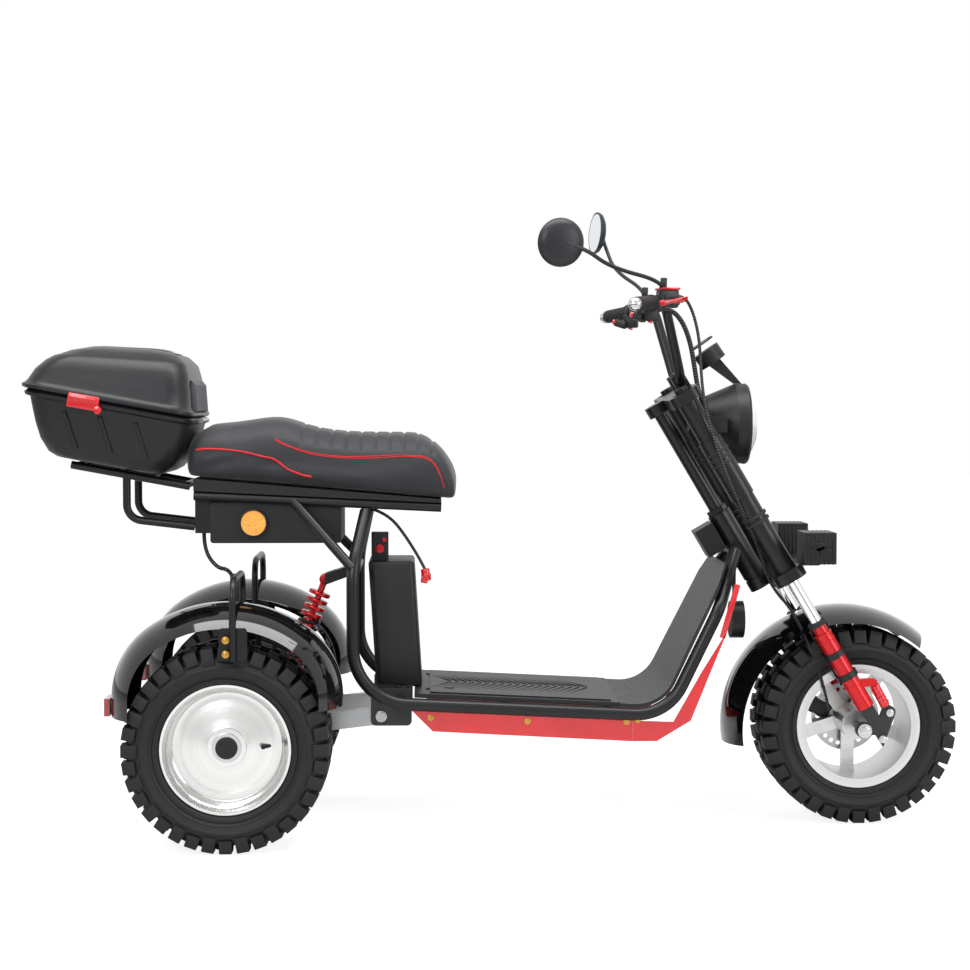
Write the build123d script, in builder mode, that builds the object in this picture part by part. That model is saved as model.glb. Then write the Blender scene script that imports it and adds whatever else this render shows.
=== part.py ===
from build123d import *
from math import cos, radians, sin, tan
import os

# Electric trike: two wide driven rear wheels, one steered front wheel, a step-through
# hoop frame, a long seat and a lidded top box. Millimetres, +X forward, +Y left, +Z up,
# origin on the ground under the middle of the trike.

os.makedirs("parts", exist_ok=True)

# Driving dimensions
overall_length = 2140
wheelbase = 1421
tyre_radius = 225
tyre_half_width = 104
rear_wheel_y = 275
front_axle_x = overall_length / 2 - tyre_radius
rear_axle_x = front_axle_x - wheelbase
axle_z = tyre_radius
chassis_pitch = 2.8
seat_gap = 0.3
running_gap = 6
overrun = 5

# Tyres: carcass, shoulder lugs and centre lugs
lug_height = 11
carcass_radius = tyre_radius - lug_height
bead_radius = 137
lug_count = 36
lug_length = 22
shoulder_lug_width = 34
centre_lug_width = 44
lug_root = 14

# Rims: 10-inch flanges, a stepped barrel and a dished disc
flange_radius = 142
barrel_radius = 122
rim_half_width = 85
rim_wall = 6
rear_disc_outset = 48
front_disc_inset = 40
spoke_count = 5
spoke_width = 30
hub_radius = 34
hub_length = 60
rear_hub_cap_radius = 24
rear_hub_cap_height = 16
brake_disc_radius = 80
brake_disc_thickness = 4
brake_hole_radius = 5
brake_hole_count = 24

# Main frame: two side hoops, seat rails, struts, cross tubes and the head tube
tube_radius = 14.25
hoop_half_width = 200
hoop_top_z = 722
hoop_bend = 125
# columns: x share of the wheelbase ahead of the rear axle, y share of the hoop's
# half-width, z share of the hoop's top height
hoop_shares = [
    (0.2070, 0.575, 1.000),
    (0.1880, 1.000, 0.831),
    (0.1880, 1.000, 0.421),
    (0.6800, 1.000, 0.374),
    (0.7640, 0.850, 0.698),
    (0.8020, 0.240, 0.866),
]
hoop_bend_shares = [0.9, 1.0, 0.9, 0.7]
rail_radius = 10.5
rail_cross_share = 0.9
rail_half_gap = 115
rail_rear_x = -668
rail_front_x = -112
rail_mid_z = 742
strut_radius = 11
strut_top_x = -446
strut_foot_z = 600
cross_tube_radius = 12
shock_cross_z = 585
deck_cross_xs = [-205, 30, 262]
hanger_thickness = 8
hanger_drop = 86
hanger_length = 34

# Steering axis and head tube
rake = 30.6
steer_x = 598
steer_z = 600
head_tube_radius = 27
head_tube_low = -38
head_tube_high = 130
bearing_radius = 24

# Deck, riser and their mats
deck_thickness = 10
deck_edge_inset = 4
deck_front_x = 285
mat_height = 3
mat_margin = 18
riser_thickness = 8
riser_reach = 0.75

# Red side panels
panel_thickness = 4
panel_height = 46
panel_rear_x = -178
panel_split_x = 314

# Battery box between the uprights, with its lock
battery_length = 104
battery_height = 286
battery_half_width = 98
battery_front_x = -156
battery_lean = 3.6
lock_length = 26
lock_height = 64

# Controller box under the seat
controller_rear_x = -633
controller_front_x = -338
controller_height = 92

# Seat
seat_rear_x = -681
seat_length = 602
seat_half_width = 150
seat_height = 186
seat_pan_thickness = 8
seat_pan_rear_thickness = 28
# columns: x share of the seat's length, z share of the seat's height
seat_shares = [
    (0.000, 0.300), (0.000, 0.690), (0.040, 0.860), (0.170, 0.900), (0.235, 0.945),
    (0.320, 0.985), (0.420, 0.900), (0.550, 0.800), (0.740, 0.785), (0.870, 0.785),
    (0.925, 0.720), (0.970, 0.540), (1.000, 0.230), (0.985, 0.060),
]

# Rack and the top box above it, both tilted nose down
box_tilt = 10.5
rack_mid_z = 803
rack_length = 270
rack_half_width = 90
rack_tube_radius = 9
rack_drop = 98
rack_cross_shares = [-0.46, -0.15, 0.15, 0.46]

# Top box in the rack's own plane: u forward, w up from the rack
box_rear = 264
box_front = 112
box_half_width = 194
box_depth = 140
box_floor_rear = 190
box_floor_front = 84
box_floor_half_width = 160
box_wall = 4
box_corner = 45
box_floor_corner = 38
flange_rear = 24
flange_side = 14
flange_front = 12
flange_thickness = 8
lid_height = 142
lid_gap = 1
lid_top_rear = 150
lid_top_front = 70
lid_top_half_width = 140
lid_mid_rear = 240
lid_mid_front = 98
lid_mid_half_width = 180
lid_mid_height = 88
hinge_radius = 6
hinge_half_width = 60
latch_length = 72
latch_height = 36
latch_thickness = 10
latch_rear = 162
pad_thickness = 14
pad_half_width = 110
pad_height = 92

# Swingarm, axle beam and motor
axle_beam_radius = 26
axle_beam_half = 184
axle_stub_radius = 11
arm_half_gap = 120
arm_half_width = 13
arm_half_height = 20
pivot_x = -248
pivot_z = 262
pivot_radius = 11
motor_radius = 82
motor_half_width = 78
pivot_plate_thickness = 8
pivot_plate_height = 84
pivot_plate_length = 92

# Rear shock absorber
shock_top_x = -380
shock_top_z = 560
shock_low_x = -468
shock_low_z = 330
shock_rod_radius = 8
shock_body_radius = 17
coil_radius = 27
coil_wire_radius = 5
coil_turns = 6
shock_eye_radius = 13
shock_eye_half = 14

# Rear fenders: three-arc arches of a curved section, on a tube loop
fender_wall = 4
fender_half_width = 106
fender_crown = 48
fender_rear_x = -829
fender_side_radius = 185
fender_top_radius = 300
fender_side_arc = 55
fender_top_arc = 70
fender_spring_z = 330
fender_tail = 40
loop_radius = 7.5
loop_x = -556
loop_top_z = 590
loop_pad_height = 5
loop_pad_half = 14
loop_foot_z = 420
loop_bend = 42
fender_plate_length = 60
fender_plate_height = 70
fender_plate_thickness = 5

# Front fork
leg_offset = 53
leg_half_gap = 134
leg_foot_drop = 406
cover_radius = 25
cover_low = -45
cover_high = 420
cover_step_radius = 28
cover_step_height = 150
stanchion_radius = 14
stanchion_low = -235
lower_radius = 20
lower_neck_radius = 16
lower_top = -191
clamp_thickness = 26
clamp_margin = 12
cap_radius = 15
cap_height = 12
top_clamp_height = 396

# Link casting at each fork foot, its small shock and the axle
link_thickness = 16
link_pivot_x = 886
link_pivot_z = 206
link_arm_radius = 15
link_top_x = 902
link_top_z = 266
link_axle_radius = 18
small_shock_radius = 11
small_shock_top_x = 866
small_shock_top_z = 334
shock_lug_radius = 9
small_shock_rise = 62
front_axle_radius = 8
axle_nut_radius = 11
axle_nut_height = 10

# Front fender and its clamps
front_fender_dx = -25
front_fender_dz = -6
front_fender_radius = 280
front_fender_crown = 34
front_fender_half_width = 113
fender_tab_thickness = 3
fender_tab_length = 46
fender_tab_drop = 150
fender_clamp_shares = [0.55, 0.92]
clamp_ring = 4
clamp_ring_height = 14
front_fender_start = 50
front_fender_arc = 138

# Handlebar, grips and controls
bar_radius = 11
bar_half_width = 350
grip_radius = 16
grip_length = 120
grip_gap = 14
bar_end_radius = 15
bar_top_z = 1192
bar_clamp_z = 1016
bar_end_x = 300
bar_end_z = 1178
bar_corner_x = 392
bar_corner_y = 112
bar_clamp_x = 437
bar_clamp_y = 60

# Headlight, gauge and lamps
headlight_x = 500
headlight_z = 918
headlight_radius = 92
headlight_depth = 84
lens_radius = 80
lens_depth = 12
ear_reach = 30
rim_band = 18
ear_height = 36
gauge_x = 500
gauge_z = 1088
gauge_radius = 32
gauge_depth = 34
gauge_tilt = 35
aux_x = 729
aux_y = 168
aux_half_width = 46
aux_height = 70
aux_depth = 72
lamp_plate_length = 44
lamp_plate_thickness = 6

# Mirrors
mirror_radius = 52
mirror_thickness = 16
stalk_radius = 5
mirror_collar_reach = 172
mirror_collar_length = 24

# Small fittings
horn_radius = 43
horn_depth = 30
horn_x = 575
horn_z = 463
neck_box_length = 46
neck_box_height = 68
neck_box_low = 54
neck_box_half_width = 34
reflector_radius = 30
reflector_depth = 12
tail_reflector_length = 12
tail_reflector_half_width = 34
tail_reflector_height = 38

# Planes and directions that several pieces share
steer_up = (-sin(radians(rake)), 0, cos(radians(rake)))
steer_forward = (cos(radians(rake)), 0, sin(radians(rake)))
steer_plane = Plane(origin=(steer_x, 0, steer_z), x_dir=steer_forward, z_dir=steer_up)
box_up = (sin(radians(box_tilt)), 0, cos(radians(box_tilt)))
rack_mid_x = (
    -overall_length / 2
    + (box_rear + flange_rear) * cos(radians(box_tilt))
    - (rack_tube_radius + seat_gap + box_depth - flange_thickness) * sin(radians(box_tilt))
)
box_forward = (cos(radians(box_tilt)), 0, -sin(radians(box_tilt)))
rack_plane = Plane(origin=(rack_mid_x, 0, rack_mid_z), x_dir=box_forward, z_dir=box_up)
box_plane = rack_plane.offset(rack_tube_radius)
sides = [("right", -1), ("left", 1)]


def save(piece, name):
    piece.label = name
    export_step(piece, "parts/" + name + ".step")


def chassis_z(x, mid_z, mid_x=0):
    return mid_z - (x - mid_x) * tan(radians(chassis_pitch))


def tube(points, radius, bends):
    with BuildLine() as path:
        if bends:
            FilletPolyline(*points, radius=bends)
        else:
            Polyline(*points)
    with BuildSketch(Plane(origin=path.line @ 0, z_dir=path.line % 0)) as section:
        Circle(radius)
    sweep(section.sketch, path=path.line)


def bar(start, end, radius):
    length = (Vector(*end) - Vector(*start)).length
    with BuildSketch(Plane(origin=start, z_dir=Vector(*end) - Vector(*start))) as section:
        Circle(radius)
    extrude(section.sketch, amount=length)


def cross_bar(x, z, radius, half_length):
    with BuildSketch(Plane.XZ) as section:
        with Locations((x, z)):
            Circle(radius)
    extrude(section.sketch, amount=half_length, both=True)


def cross_bar_cut(x, z, radius, half_length):
    with BuildSketch(Plane.XZ) as section:
        with Locations((x, z)):
            Circle(radius)
    extrude(section.sketch, amount=half_length, both=True, mode=Mode.SUBTRACT)


def shifted(points, amount):
    start, corner, end = [Vector(*point) for point in points]
    first = Vector(start.Y - corner.Y, corner.X - start.X).normalized()
    second = Vector(corner.Y - end.Y, end.X - corner.X).normalized()
    mitre = (first + second) * (1 / (1 + first.dot(second)))
    return [start + first * amount, corner + mitre * amount, end + second * amount]


def placed(shape, location):
    with BuildPart() as piece:
        with Locations(location):
            add(shape)
    return piece.part


# Tyre, modelled about the Z axis and placed on each wheel
bead_half = rim_half_width - rim_wall - seat_gap
with BuildPart() as tyre:
    with BuildSketch(Plane.XZ):
        with BuildLine():
            Line((bead_radius, -bead_half), (bead_radius, bead_half))
            Line((bead_radius, bead_half), (flange_radius + seat_gap, bead_half))
            Line((flange_radius + seat_gap, bead_half), (flange_radius + overrun, rim_half_width + overrun))
            ThreePointArc(
                (flange_radius + overrun, rim_half_width + overrun),
                ((flange_radius + carcass_radius) / 2, tyre_half_width),
                (carcass_radius - lug_root, tyre_half_width - lug_root),
            )
            ThreePointArc(
                (carcass_radius - lug_root, tyre_half_width - lug_root),
                (carcass_radius, 0),
                (carcass_radius - lug_root, -tyre_half_width + lug_root),
            )
            ThreePointArc(
                (carcass_radius - lug_root, -tyre_half_width + lug_root),
                ((flange_radius + carcass_radius) / 2, -tyre_half_width),
                (flange_radius + overrun, -rim_half_width - overrun),
            )
            Line((flange_radius + overrun, -rim_half_width - overrun), (flange_radius + seat_gap, -bead_half))
            Line((flange_radius + seat_gap, -bead_half), (bead_radius, -bead_half))
        make_face()
    revolve(axis=Axis.Z)
    with BuildPart(mode=Mode.PRIVATE) as centre_lug:
        with Locations((carcass_radius - lug_root / 2, 0, 0)):
            Box(
                lug_height + lug_root / 2, lug_length, centre_lug_width,
                align=(Align.MIN, Align.CENTER, Align.CENTER),
            )
    with PolarLocations(0, lug_count // 2):
        add(centre_lug.part)
    for side in (-1, 1):
        with BuildPart(mode=Mode.PRIVATE) as shoulder_lug:
            with BuildSketch(Plane.XZ):
                Polygon(
                    (carcass_radius - 2 * lug_root, side * (tyre_half_width - lug_root)),
                    (carcass_radius - 2 * lug_root, side * (tyre_half_width - lug_root / 4)),
                    (tyre_radius - lug_height, side * (tyre_half_width - lug_root / 2)),
                    (tyre_radius - lug_height / 4, side * (tyre_half_width - shoulder_lug_width)),
                    (carcass_radius - lug_root, side * (tyre_half_width - shoulder_lug_width)),
                    align=None,
                )
            extrude(amount=lug_length / 2, both=True)
        with PolarLocations(0, lug_count):
            add(shoulder_lug.part)

# Rear rim: a stepped barrel, flanges and a dished disc set near the outer flange
with BuildPart() as rear_rim:
    with BuildSketch(Plane.XZ):
        with BuildLine():
            Polyline(
                (flange_radius, -rim_half_width),
                (flange_radius, -rim_half_width + rim_wall),
                (bead_radius - seat_gap, -rim_half_width + rim_wall),
                (bead_radius - seat_gap, rim_half_width - rim_wall),
                (flange_radius, rim_half_width - rim_wall),
                (flange_radius, rim_half_width),
                (barrel_radius, rim_half_width),
                (barrel_radius - rim_wall, rear_disc_outset + rim_wall),
                (hub_radius, rear_disc_outset),
                (0, rear_disc_outset),
                (0, rear_disc_outset - rim_wall * 2),
                (barrel_radius, rear_disc_outset - rim_wall * 2),
                (barrel_radius, -rim_half_width),
                (flange_radius, -rim_half_width),
            )
        make_face()
    revolve(axis=Axis.Z)
    with Locations((0, 0, rear_disc_outset - rim_wall * 2)):
        Cylinder(hub_radius, hub_length, align=(Align.CENTER, Align.CENTER, Align.MAX))
    with Locations((0, 0, rear_disc_outset - rim_wall / 2)):
        Cylinder(
            axle_stub_radius, rim_half_width * 2, mode=Mode.SUBTRACT,
            align=(Align.CENTER, Align.CENTER, Align.MAX),
        )

# Front rim: the same barrel with five deep-set spokes about a long hub
with BuildPart() as front_rim:
    with BuildSketch(Plane.XZ):
        with BuildLine():
            Polyline(
                (flange_radius, -rim_half_width),
                (flange_radius, -rim_half_width + rim_wall),
                (bead_radius - seat_gap, -rim_half_width + rim_wall),
                (bead_radius - seat_gap, rim_half_width - rim_wall),
                (flange_radius, rim_half_width - rim_wall),
                (flange_radius, rim_half_width),
                (barrel_radius, rim_half_width),
                (barrel_radius, -rim_half_width),
                (flange_radius, -rim_half_width),
            )
        make_face()
    revolve(axis=Axis.Z)
    with BuildSketch(Plane.XY.offset(front_disc_inset - rim_wall)):
        with PolarLocations((hub_radius + barrel_radius) / 2, spoke_count):
            Rectangle(barrel_radius - hub_radius + 2 * rim_wall, spoke_width)
    extrude(amount=rim_wall * 2)
    Cylinder(hub_radius, rim_half_width + front_disc_inset, align=(Align.CENTER, Align.CENTER, Align.CENTER))
    Cylinder(front_axle_radius + seat_gap, rim_half_width * 3, mode=Mode.SUBTRACT)

# Wheels placed: the disc side of each rear rim faces outwards
for side_name, side in sides:
    wheel_spot = Plane(
        origin=(rear_axle_x, side * rear_wheel_y, axle_z), x_dir=(0, 0, -1), z_dir=(0, side, 0)
    ).location
    save(placed(tyre.part, wheel_spot), "rear_tyre_" + side_name)
    save(placed(rear_rim.part, wheel_spot), "rear_rim_" + side_name)
    with BuildPart() as hub_cap:
        with BuildSketch(
            Plane(
                origin=(rear_axle_x, side * (rear_wheel_y + rear_disc_outset), axle_z),
                z_dir=(0, side, 0),
            )
        ):
            Circle(rear_hub_cap_radius)
        extrude(amount=rear_hub_cap_height)
        fillet(hub_cap.faces().sort_by(Axis.Y)[-1 if side > 0 else 0].edges(), rear_hub_cap_height / 4)
    save(hub_cap.part, "hub_cap_" + side_name)

front_spot = Plane(origin=(front_axle_x, 0, axle_z), x_dir=(0, 0, -1), z_dir=(0, 1, 0)).location
save(placed(tyre.part, front_spot), "front_tyre")
save(placed(front_rim.part, front_spot), "front_rim")

# Perforated brake disc on the left of the front hub
disc_face_y = rim_half_width / 2 + front_disc_inset / 2
with BuildPart() as brake_disc:
    with BuildSketch(Plane.XZ.offset(-disc_face_y)):
        with Locations((front_axle_x, axle_z)):
            Circle(brake_disc_radius)
            Circle(front_axle_radius + seat_gap, mode=Mode.SUBTRACT)
            with PolarLocations(brake_disc_radius * 0.82, brake_hole_count):
                Circle(brake_hole_radius, mode=Mode.SUBTRACT)
    extrude(amount=-brake_disc_thickness)
save(brake_disc.part, "brake_disc")

# Main frame
hoop_points = [
    (rear_axle_x + wheelbase * x_share, hoop_half_width * y_share, hoop_top_z * z_share)
    for x_share, y_share, z_share in hoop_shares
]
hoop_bends = [hoop_bend * bend_share for bend_share in hoop_bend_shares]
hoop_rear_x = hoop_points[1][0]
deck_line_z = hoop_points[2][2]
with BuildPart() as main_frame:
    for side_name, side in sides:
        tube([(x, side * y, z) for x, y, z in hoop_points], tube_radius, hoop_bends)
        rail_y = side * rail_half_gap
        bar(
            (rail_rear_x, rail_y, chassis_z(rail_rear_x, rail_mid_z, rail_rear_x / 2)),
            (rail_front_x, rail_y, chassis_z(rail_front_x, rail_mid_z, rail_rear_x / 2)),
            rail_radius,
        )
        bar(
            (strut_top_x, rail_y, chassis_z(strut_top_x, rail_mid_z, rail_rear_x / 2)),
            (hoop_rear_x, side * hoop_half_width, strut_foot_z),
            strut_radius,
        )
        with BuildSketch(Plane.XZ.offset(-side * rack_half_width)):
            with Locations((rail_rear_x + hanger_length / 2, chassis_z(rail_rear_x, rail_mid_z, rail_rear_x / 2))):
                Rectangle(hanger_length, hanger_drop, align=(Align.CENTER, Align.MAX))
        extrude(amount=hanger_thickness / 2, both=True)
    for x in deck_cross_xs:
        cross_bar(x, chassis_z(x, deck_line_z, hoop_rear_x), cross_tube_radius, hoop_half_width)
    cross_bar(hoop_rear_x, shock_cross_z, cross_tube_radius, hoop_half_width)
    for x in (rail_rear_x + rail_radius, rail_front_x - rail_radius):
        cross_bar(x, chassis_z(x, rail_mid_z, rail_rear_x / 2), rail_radius * rail_cross_share, rail_half_gap)
    cross_bar(hoop_points[5][0], hoop_points[5][2], tube_radius, hoop_points[5][1])
    with BuildSketch(steer_plane.offset(head_tube_low)):
        Circle(head_tube_radius)
    extrude(amount=head_tube_high - head_tube_low)
    with BuildSketch(Plane.XZ):
        with Locations((hoop_rear_x, shock_cross_z)):
            Polygon(
                (0, cross_tube_radius), (0, -cross_tube_radius),
                (shock_top_x - hoop_rear_x, shock_top_z - shock_cross_z - shock_eye_radius),
                (shock_top_x - hoop_rear_x, shock_top_z - shock_cross_z + shock_eye_radius),
                align=None,
            )
    extrude(amount=shock_eye_half + hanger_thickness, both=True)
    with BuildSketch(Plane.XZ):
        with Locations((shock_top_x, shock_top_z)):
            Rectangle(4 * shock_eye_radius, 6 * shock_eye_radius)
    extrude(amount=shock_eye_half, both=True, mode=Mode.SUBTRACT)
    with BuildSketch(steer_plane.offset(head_tube_low)):
        Circle(head_tube_radius - hanger_thickness)
    extrude(amount=head_tube_high - head_tube_low, mode=Mode.SUBTRACT)
save(main_frame.part, "main_frame")

# Deck board on the frame's cross tubes, with a raised mat in front of the battery box
deck_rear_x = pivot_x + pivot_plate_length * 0.75 + running_gap
deck_half_width = hoop_half_width - deck_edge_inset
with BuildPart() as deck_board:
    with BuildSketch(Plane.XZ):
        with BuildLine():
            Polyline(
                (deck_rear_x, chassis_z(deck_rear_x, deck_line_z, hoop_rear_x) + tube_radius + seat_gap),
                (deck_front_x, chassis_z(deck_front_x, deck_line_z, hoop_rear_x) + tube_radius + seat_gap),
                (
                    deck_front_x,
                    chassis_z(deck_front_x, deck_line_z, hoop_rear_x) + tube_radius + seat_gap + deck_thickness,
                ),
                (
                    deck_rear_x,
                    chassis_z(deck_rear_x, deck_line_z, hoop_rear_x) + tube_radius + seat_gap + deck_thickness,
                ),
                close=True,
            )
        make_face()
    extrude(amount=deck_half_width, both=True)
    mat_rear_x, mat_front_x = battery_front_x + mat_margin, deck_front_x - mat_margin
    mat_low = tube_radius + seat_gap + deck_thickness
    with BuildSketch(Plane.XZ):
        Polygon(
            (mat_rear_x, chassis_z(mat_rear_x, deck_line_z, hoop_rear_x) + mat_low - mat_height),
            (mat_front_x, chassis_z(mat_front_x, deck_line_z, hoop_rear_x) + mat_low - mat_height),
            (mat_front_x, chassis_z(mat_front_x, deck_line_z, hoop_rear_x) + mat_low + mat_height),
            (mat_rear_x, chassis_z(mat_rear_x, deck_line_z, hoop_rear_x) + mat_low + mat_height),
            align=None,
        )
    extrude(amount=deck_half_width - mat_margin, both=True)
save(deck_board.part, "deck_board")

# Riser board that lies on the hoops from the deck up to the neck
neck_x, neck_y, neck_z = hoop_points[5]
bend_x, bend_y, bend_z = hoop_points[3]
knee_x, knee_y, knee_z = hoop_points[4]
riser_top_x = knee_x + (neck_x - knee_x) * riser_reach
riser_top_z = knee_z + (neck_z - knee_z) * riser_reach
riser_guide = [
    (deck_front_x + seat_gap, chassis_z(deck_front_x, deck_line_z, hoop_rear_x)),
    (bend_x, bend_z),
    (riser_top_x, riser_top_z),
]
riser_rise = tube_radius + seat_gap + riser_thickness
with BuildPart() as riser_board:
    with BuildSketch(Plane.XZ):
        with BuildLine():
            riser_low = FilletPolyline(
                *shifted(riser_guide, tube_radius + seat_gap), radius=hoop_bends[2] - tube_radius - seat_gap
            )
            riser_high = FilletPolyline(
                *shifted(riser_guide, riser_rise), radius=hoop_bends[2] - riser_rise
            )
            Line(riser_low @ 0, riser_high @ 0)
            Line(riser_low @ 1, riser_high @ 1)
        make_face()
    extrude(amount=deck_half_width, both=True)
    with BuildSketch(Plane.XY):
        Polygon(
            (deck_front_x - overrun, deck_half_width),
            (bend_x, deck_half_width),
            (knee_x, knee_y),
            (neck_x, neck_y + tube_radius),
            (neck_x, -neck_y - tube_radius),
            (knee_x, -knee_y),
            (bend_x, -deck_half_width),
            (deck_front_x - overrun, -deck_half_width),
            align=None,
        )
    extrude(amount=overall_length, mode=Mode.INTERSECT)
save(riser_board.part, "riser_board")

# Red side panels: a straight rear one and one that follows the front bend
panel_y = hoop_half_width
for side_name, side in sides:
    with BuildPart() as side_panel:
        with BuildSketch(Plane.XZ.offset(-side * panel_y)):
            top_rear = chassis_z(panel_rear_x, deck_line_z, hoop_rear_x) - tube_radius - seat_gap
            top_front = chassis_z(panel_split_x, deck_line_z, hoop_rear_x) - tube_radius - seat_gap
            Polygon(
                (panel_rear_x, top_rear),
                (panel_rear_x + panel_height, top_rear - panel_height),
                (panel_split_x - seat_gap, top_front - panel_height),
                (panel_split_x - seat_gap, top_front),
                align=None,
            )
        extrude(amount=panel_thickness / 2, both=True)
    save(side_panel.part, "side_panel_" + side_name)
    with BuildPart() as front_panel:
        with BuildSketch(Plane.XZ.offset(-side * panel_y)):
            Polygon(
                (panel_split_x, top_front),
                (panel_split_x, top_front - panel_height),
                (bend_x - panel_height / 2, top_front - panel_height),
                (bend_x + panel_height * 1.15, bend_z - panel_height / 4),
                (knee_x + tube_radius, knee_z - panel_height),
                (knee_x - 3 * tube_radius, knee_z - 3 * panel_height),
                (bend_x + tube_radius, bend_z - tube_radius),
                align=None,
            )
        extrude(amount=panel_thickness / 2, both=True)
    save(front_panel.part, "front_panel_" + side_name)

# Battery box that leans back between the uprights, and the lock on its rear corner
lean = battery_height * tan(radians(battery_lean))
battery_rear_x = battery_front_x - battery_length
deck_top = tube_radius + deck_thickness + 2 * seat_gap
battery_low_front = chassis_z(battery_front_x, deck_line_z, hoop_rear_x) + deck_top
battery_low_rear = chassis_z(battery_rear_x, deck_line_z, hoop_rear_x) + deck_top
battery_top_z = battery_low_front + battery_height
with BuildPart() as battery_box:
    with BuildSketch(Plane.XZ):
        with BuildLine():
            Polyline(
                (battery_front_x, battery_low_front),
                (battery_front_x - lean, battery_top_z),
                (battery_rear_x - lean, battery_top_z),
                (battery_rear_x, battery_low_rear),
                close=True,
            )
        make_face()
    extrude(amount=battery_half_width, both=True)
    fillet(battery_box.edges().filter_by(lambda edge: abs((edge % 0.5).Z) > 0.9), tube_radius)
save(battery_box.part, "battery_box")

with BuildPart() as battery_lock:
    with BuildSketch(Plane.XY.offset(battery_top_z + seat_gap)):
        with Locations((battery_rear_x - lean + lock_length, -battery_half_width / 2)):
            RectangleRounded(lock_length * 1.5, lock_length, lock_length / 4)
    extrude(amount=lock_height)
save(battery_lock.part, "battery_lock")

# Controller box hung under the seat rails
controller_top = chassis_z(controller_front_x, rail_mid_z, rail_rear_x / 2)
controller_half_width = rail_half_gap - rail_radius - seat_gap
with BuildPart() as controller_box:
    with BuildSketch(Plane.XZ):
        Polygon(
            (controller_rear_x, controller_top),
            (controller_rear_x, controller_top - controller_height),
            (controller_front_x, controller_top - controller_height),
            (controller_front_x, controller_top),
            align=None,
        )
    extrude(amount=controller_half_width, both=True)
    fillet(controller_box.edges().filter_by(Axis.Y), tube_radius / 2)
save(controller_box.part, "controller_box")

# Seat pan, a wedge on the rails, and the seat on it
rail_top = rail_radius + seat_gap
pan_rear_low = chassis_z(rail_rear_x, rail_mid_z, rail_rear_x / 2) + rail_top
pan_front_low = chassis_z(rail_front_x, rail_mid_z, rail_rear_x / 2) + rail_top
with BuildPart() as seat_pan:
    with BuildSketch(Plane.XZ):
        with BuildLine():
            Polyline(
                (rail_rear_x, pan_rear_low),
                (rail_front_x, pan_front_low),
                (rail_front_x, pan_front_low + seat_pan_thickness),
                (rail_rear_x, pan_rear_low + seat_pan_rear_thickness),
                close=True,
            )
        make_face()
    extrude(amount=rail_half_gap + rail_radius, both=True)
save(seat_pan.part, "seat_pan")

seat_base_rear = pan_rear_low + seat_pan_rear_thickness + seat_gap
seat_base_front = pan_front_low + seat_pan_thickness + seat_gap
with BuildPart() as seat:
    with BuildSketch(Plane.XZ):
        with BuildLine():
            Polyline(
                (rail_rear_x, seat_base_rear),
                *[
                    (seat_rear_x + seat_length * x_share, seat_base_front + seat_height * z_share)
                    for x_share, z_share in seat_shares
                ],
                (rail_front_x, seat_base_front),
                close=True,
            )
        make_face()
    extrude(amount=seat_half_width, both=True)
save(seat.part, "seat")

# Rack: a tube frame under the top box on two J-shaped legs from the rear hangers
rack_fall = 2 * rack_tube_radius
rack_slope = rack_fall / (rail_rear_x - rack_mid_x)
rack_end_x = rail_rear_x - seat_gap - rack_tube_radius * rack_slope
with BuildPart() as rack:
    rack_rear = rack_plane.from_local_coords((-rack_length / 2, 0, 0))
    rack_front = rack_plane.from_local_coords((rack_length / 2, 0, 0))
    for side in (-1, 1):
        y = side * rack_half_width
        bar((rack_rear.X, y, rack_rear.Z), (rack_front.X, y, rack_front.Z), rack_tube_radius)
        tube(
            [
                (rack_mid_x - rack_tube_radius, y, rack_mid_z),
                (rack_mid_x - rack_tube_radius, y, rack_mid_z - rack_drop),
                (rack_end_x, y, rack_mid_z - rack_drop - rack_fall),
            ],
            rack_tube_radius,
            4 * rack_tube_radius,
        )
    for share in rack_cross_shares:
        spot = rack_plane.from_local_coords((rack_length * share, 0, 0))
        cross_bar(spot.X, spot.Z, rack_tube_radius * rail_cross_share, rack_half_width)
save(rack.part, "rack")

# Top box: a hollow lower shell with a flange, and a hollow lid on a front hinge
box_section = [
    (box_floor_rear, box_floor_front, box_floor_half_width, box_floor_corner, 0),
    (box_rear, box_front, box_half_width, box_corner, box_depth),
]
lid_section = [
    (box_rear, box_front, box_half_width, box_corner, 0),
    (lid_mid_rear, lid_mid_front, lid_mid_half_width, box_corner, lid_mid_height),
    (lid_top_rear, lid_top_front, lid_top_half_width, box_floor_corner, lid_height),
]


def box_slice(plane, rear, front, half_width, corner, height):
    with BuildSketch(plane.offset(height)) as section:
        with Locations(((front - rear) / 2, 0)):
            RectangleRounded(front + rear, 2 * half_width, corner)
    return section.sketch


def box_flange(plane):
    rear, front = box_rear + flange_rear, box_front + flange_front
    flange = box_slice(plane, rear, front, box_half_width + flange_side, box_corner + flange_side, 0)
    extrude(flange, amount=flange_thickness)


def box_hollow(rows, plane, floor_lift, top_lift):
    return [
        box_slice(
            plane, rear - box_wall, front - box_wall, half_width - box_wall, corner,
            height + (floor_lift if height == rows[0][4] else top_lift if height == rows[-1][4] else 0),
        )
        for rear, front, half_width, corner, height in rows
    ]


box_seat = box_plane.offset(seat_gap)
with BuildPart() as top_box:
    loft([box_slice(box_seat, *row) for row in box_section])
    box_flange(box_seat.offset(box_depth - flange_thickness))
    loft(box_hollow(box_section, box_seat, box_wall, overrun), mode=Mode.SUBTRACT)
save(top_box.part, "top_box")

lid_seat = box_seat.offset(box_depth + lid_gap)
with BuildPart() as top_box_lid:
    loft([box_slice(lid_seat, *row) for row in lid_section], ruled=True)
    box_flange(lid_seat)
    loft(box_hollow(lid_section, lid_seat, -overrun, -box_wall), ruled=True, mode=Mode.SUBTRACT)
save(top_box_lid.part, "top_box_lid")

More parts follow.
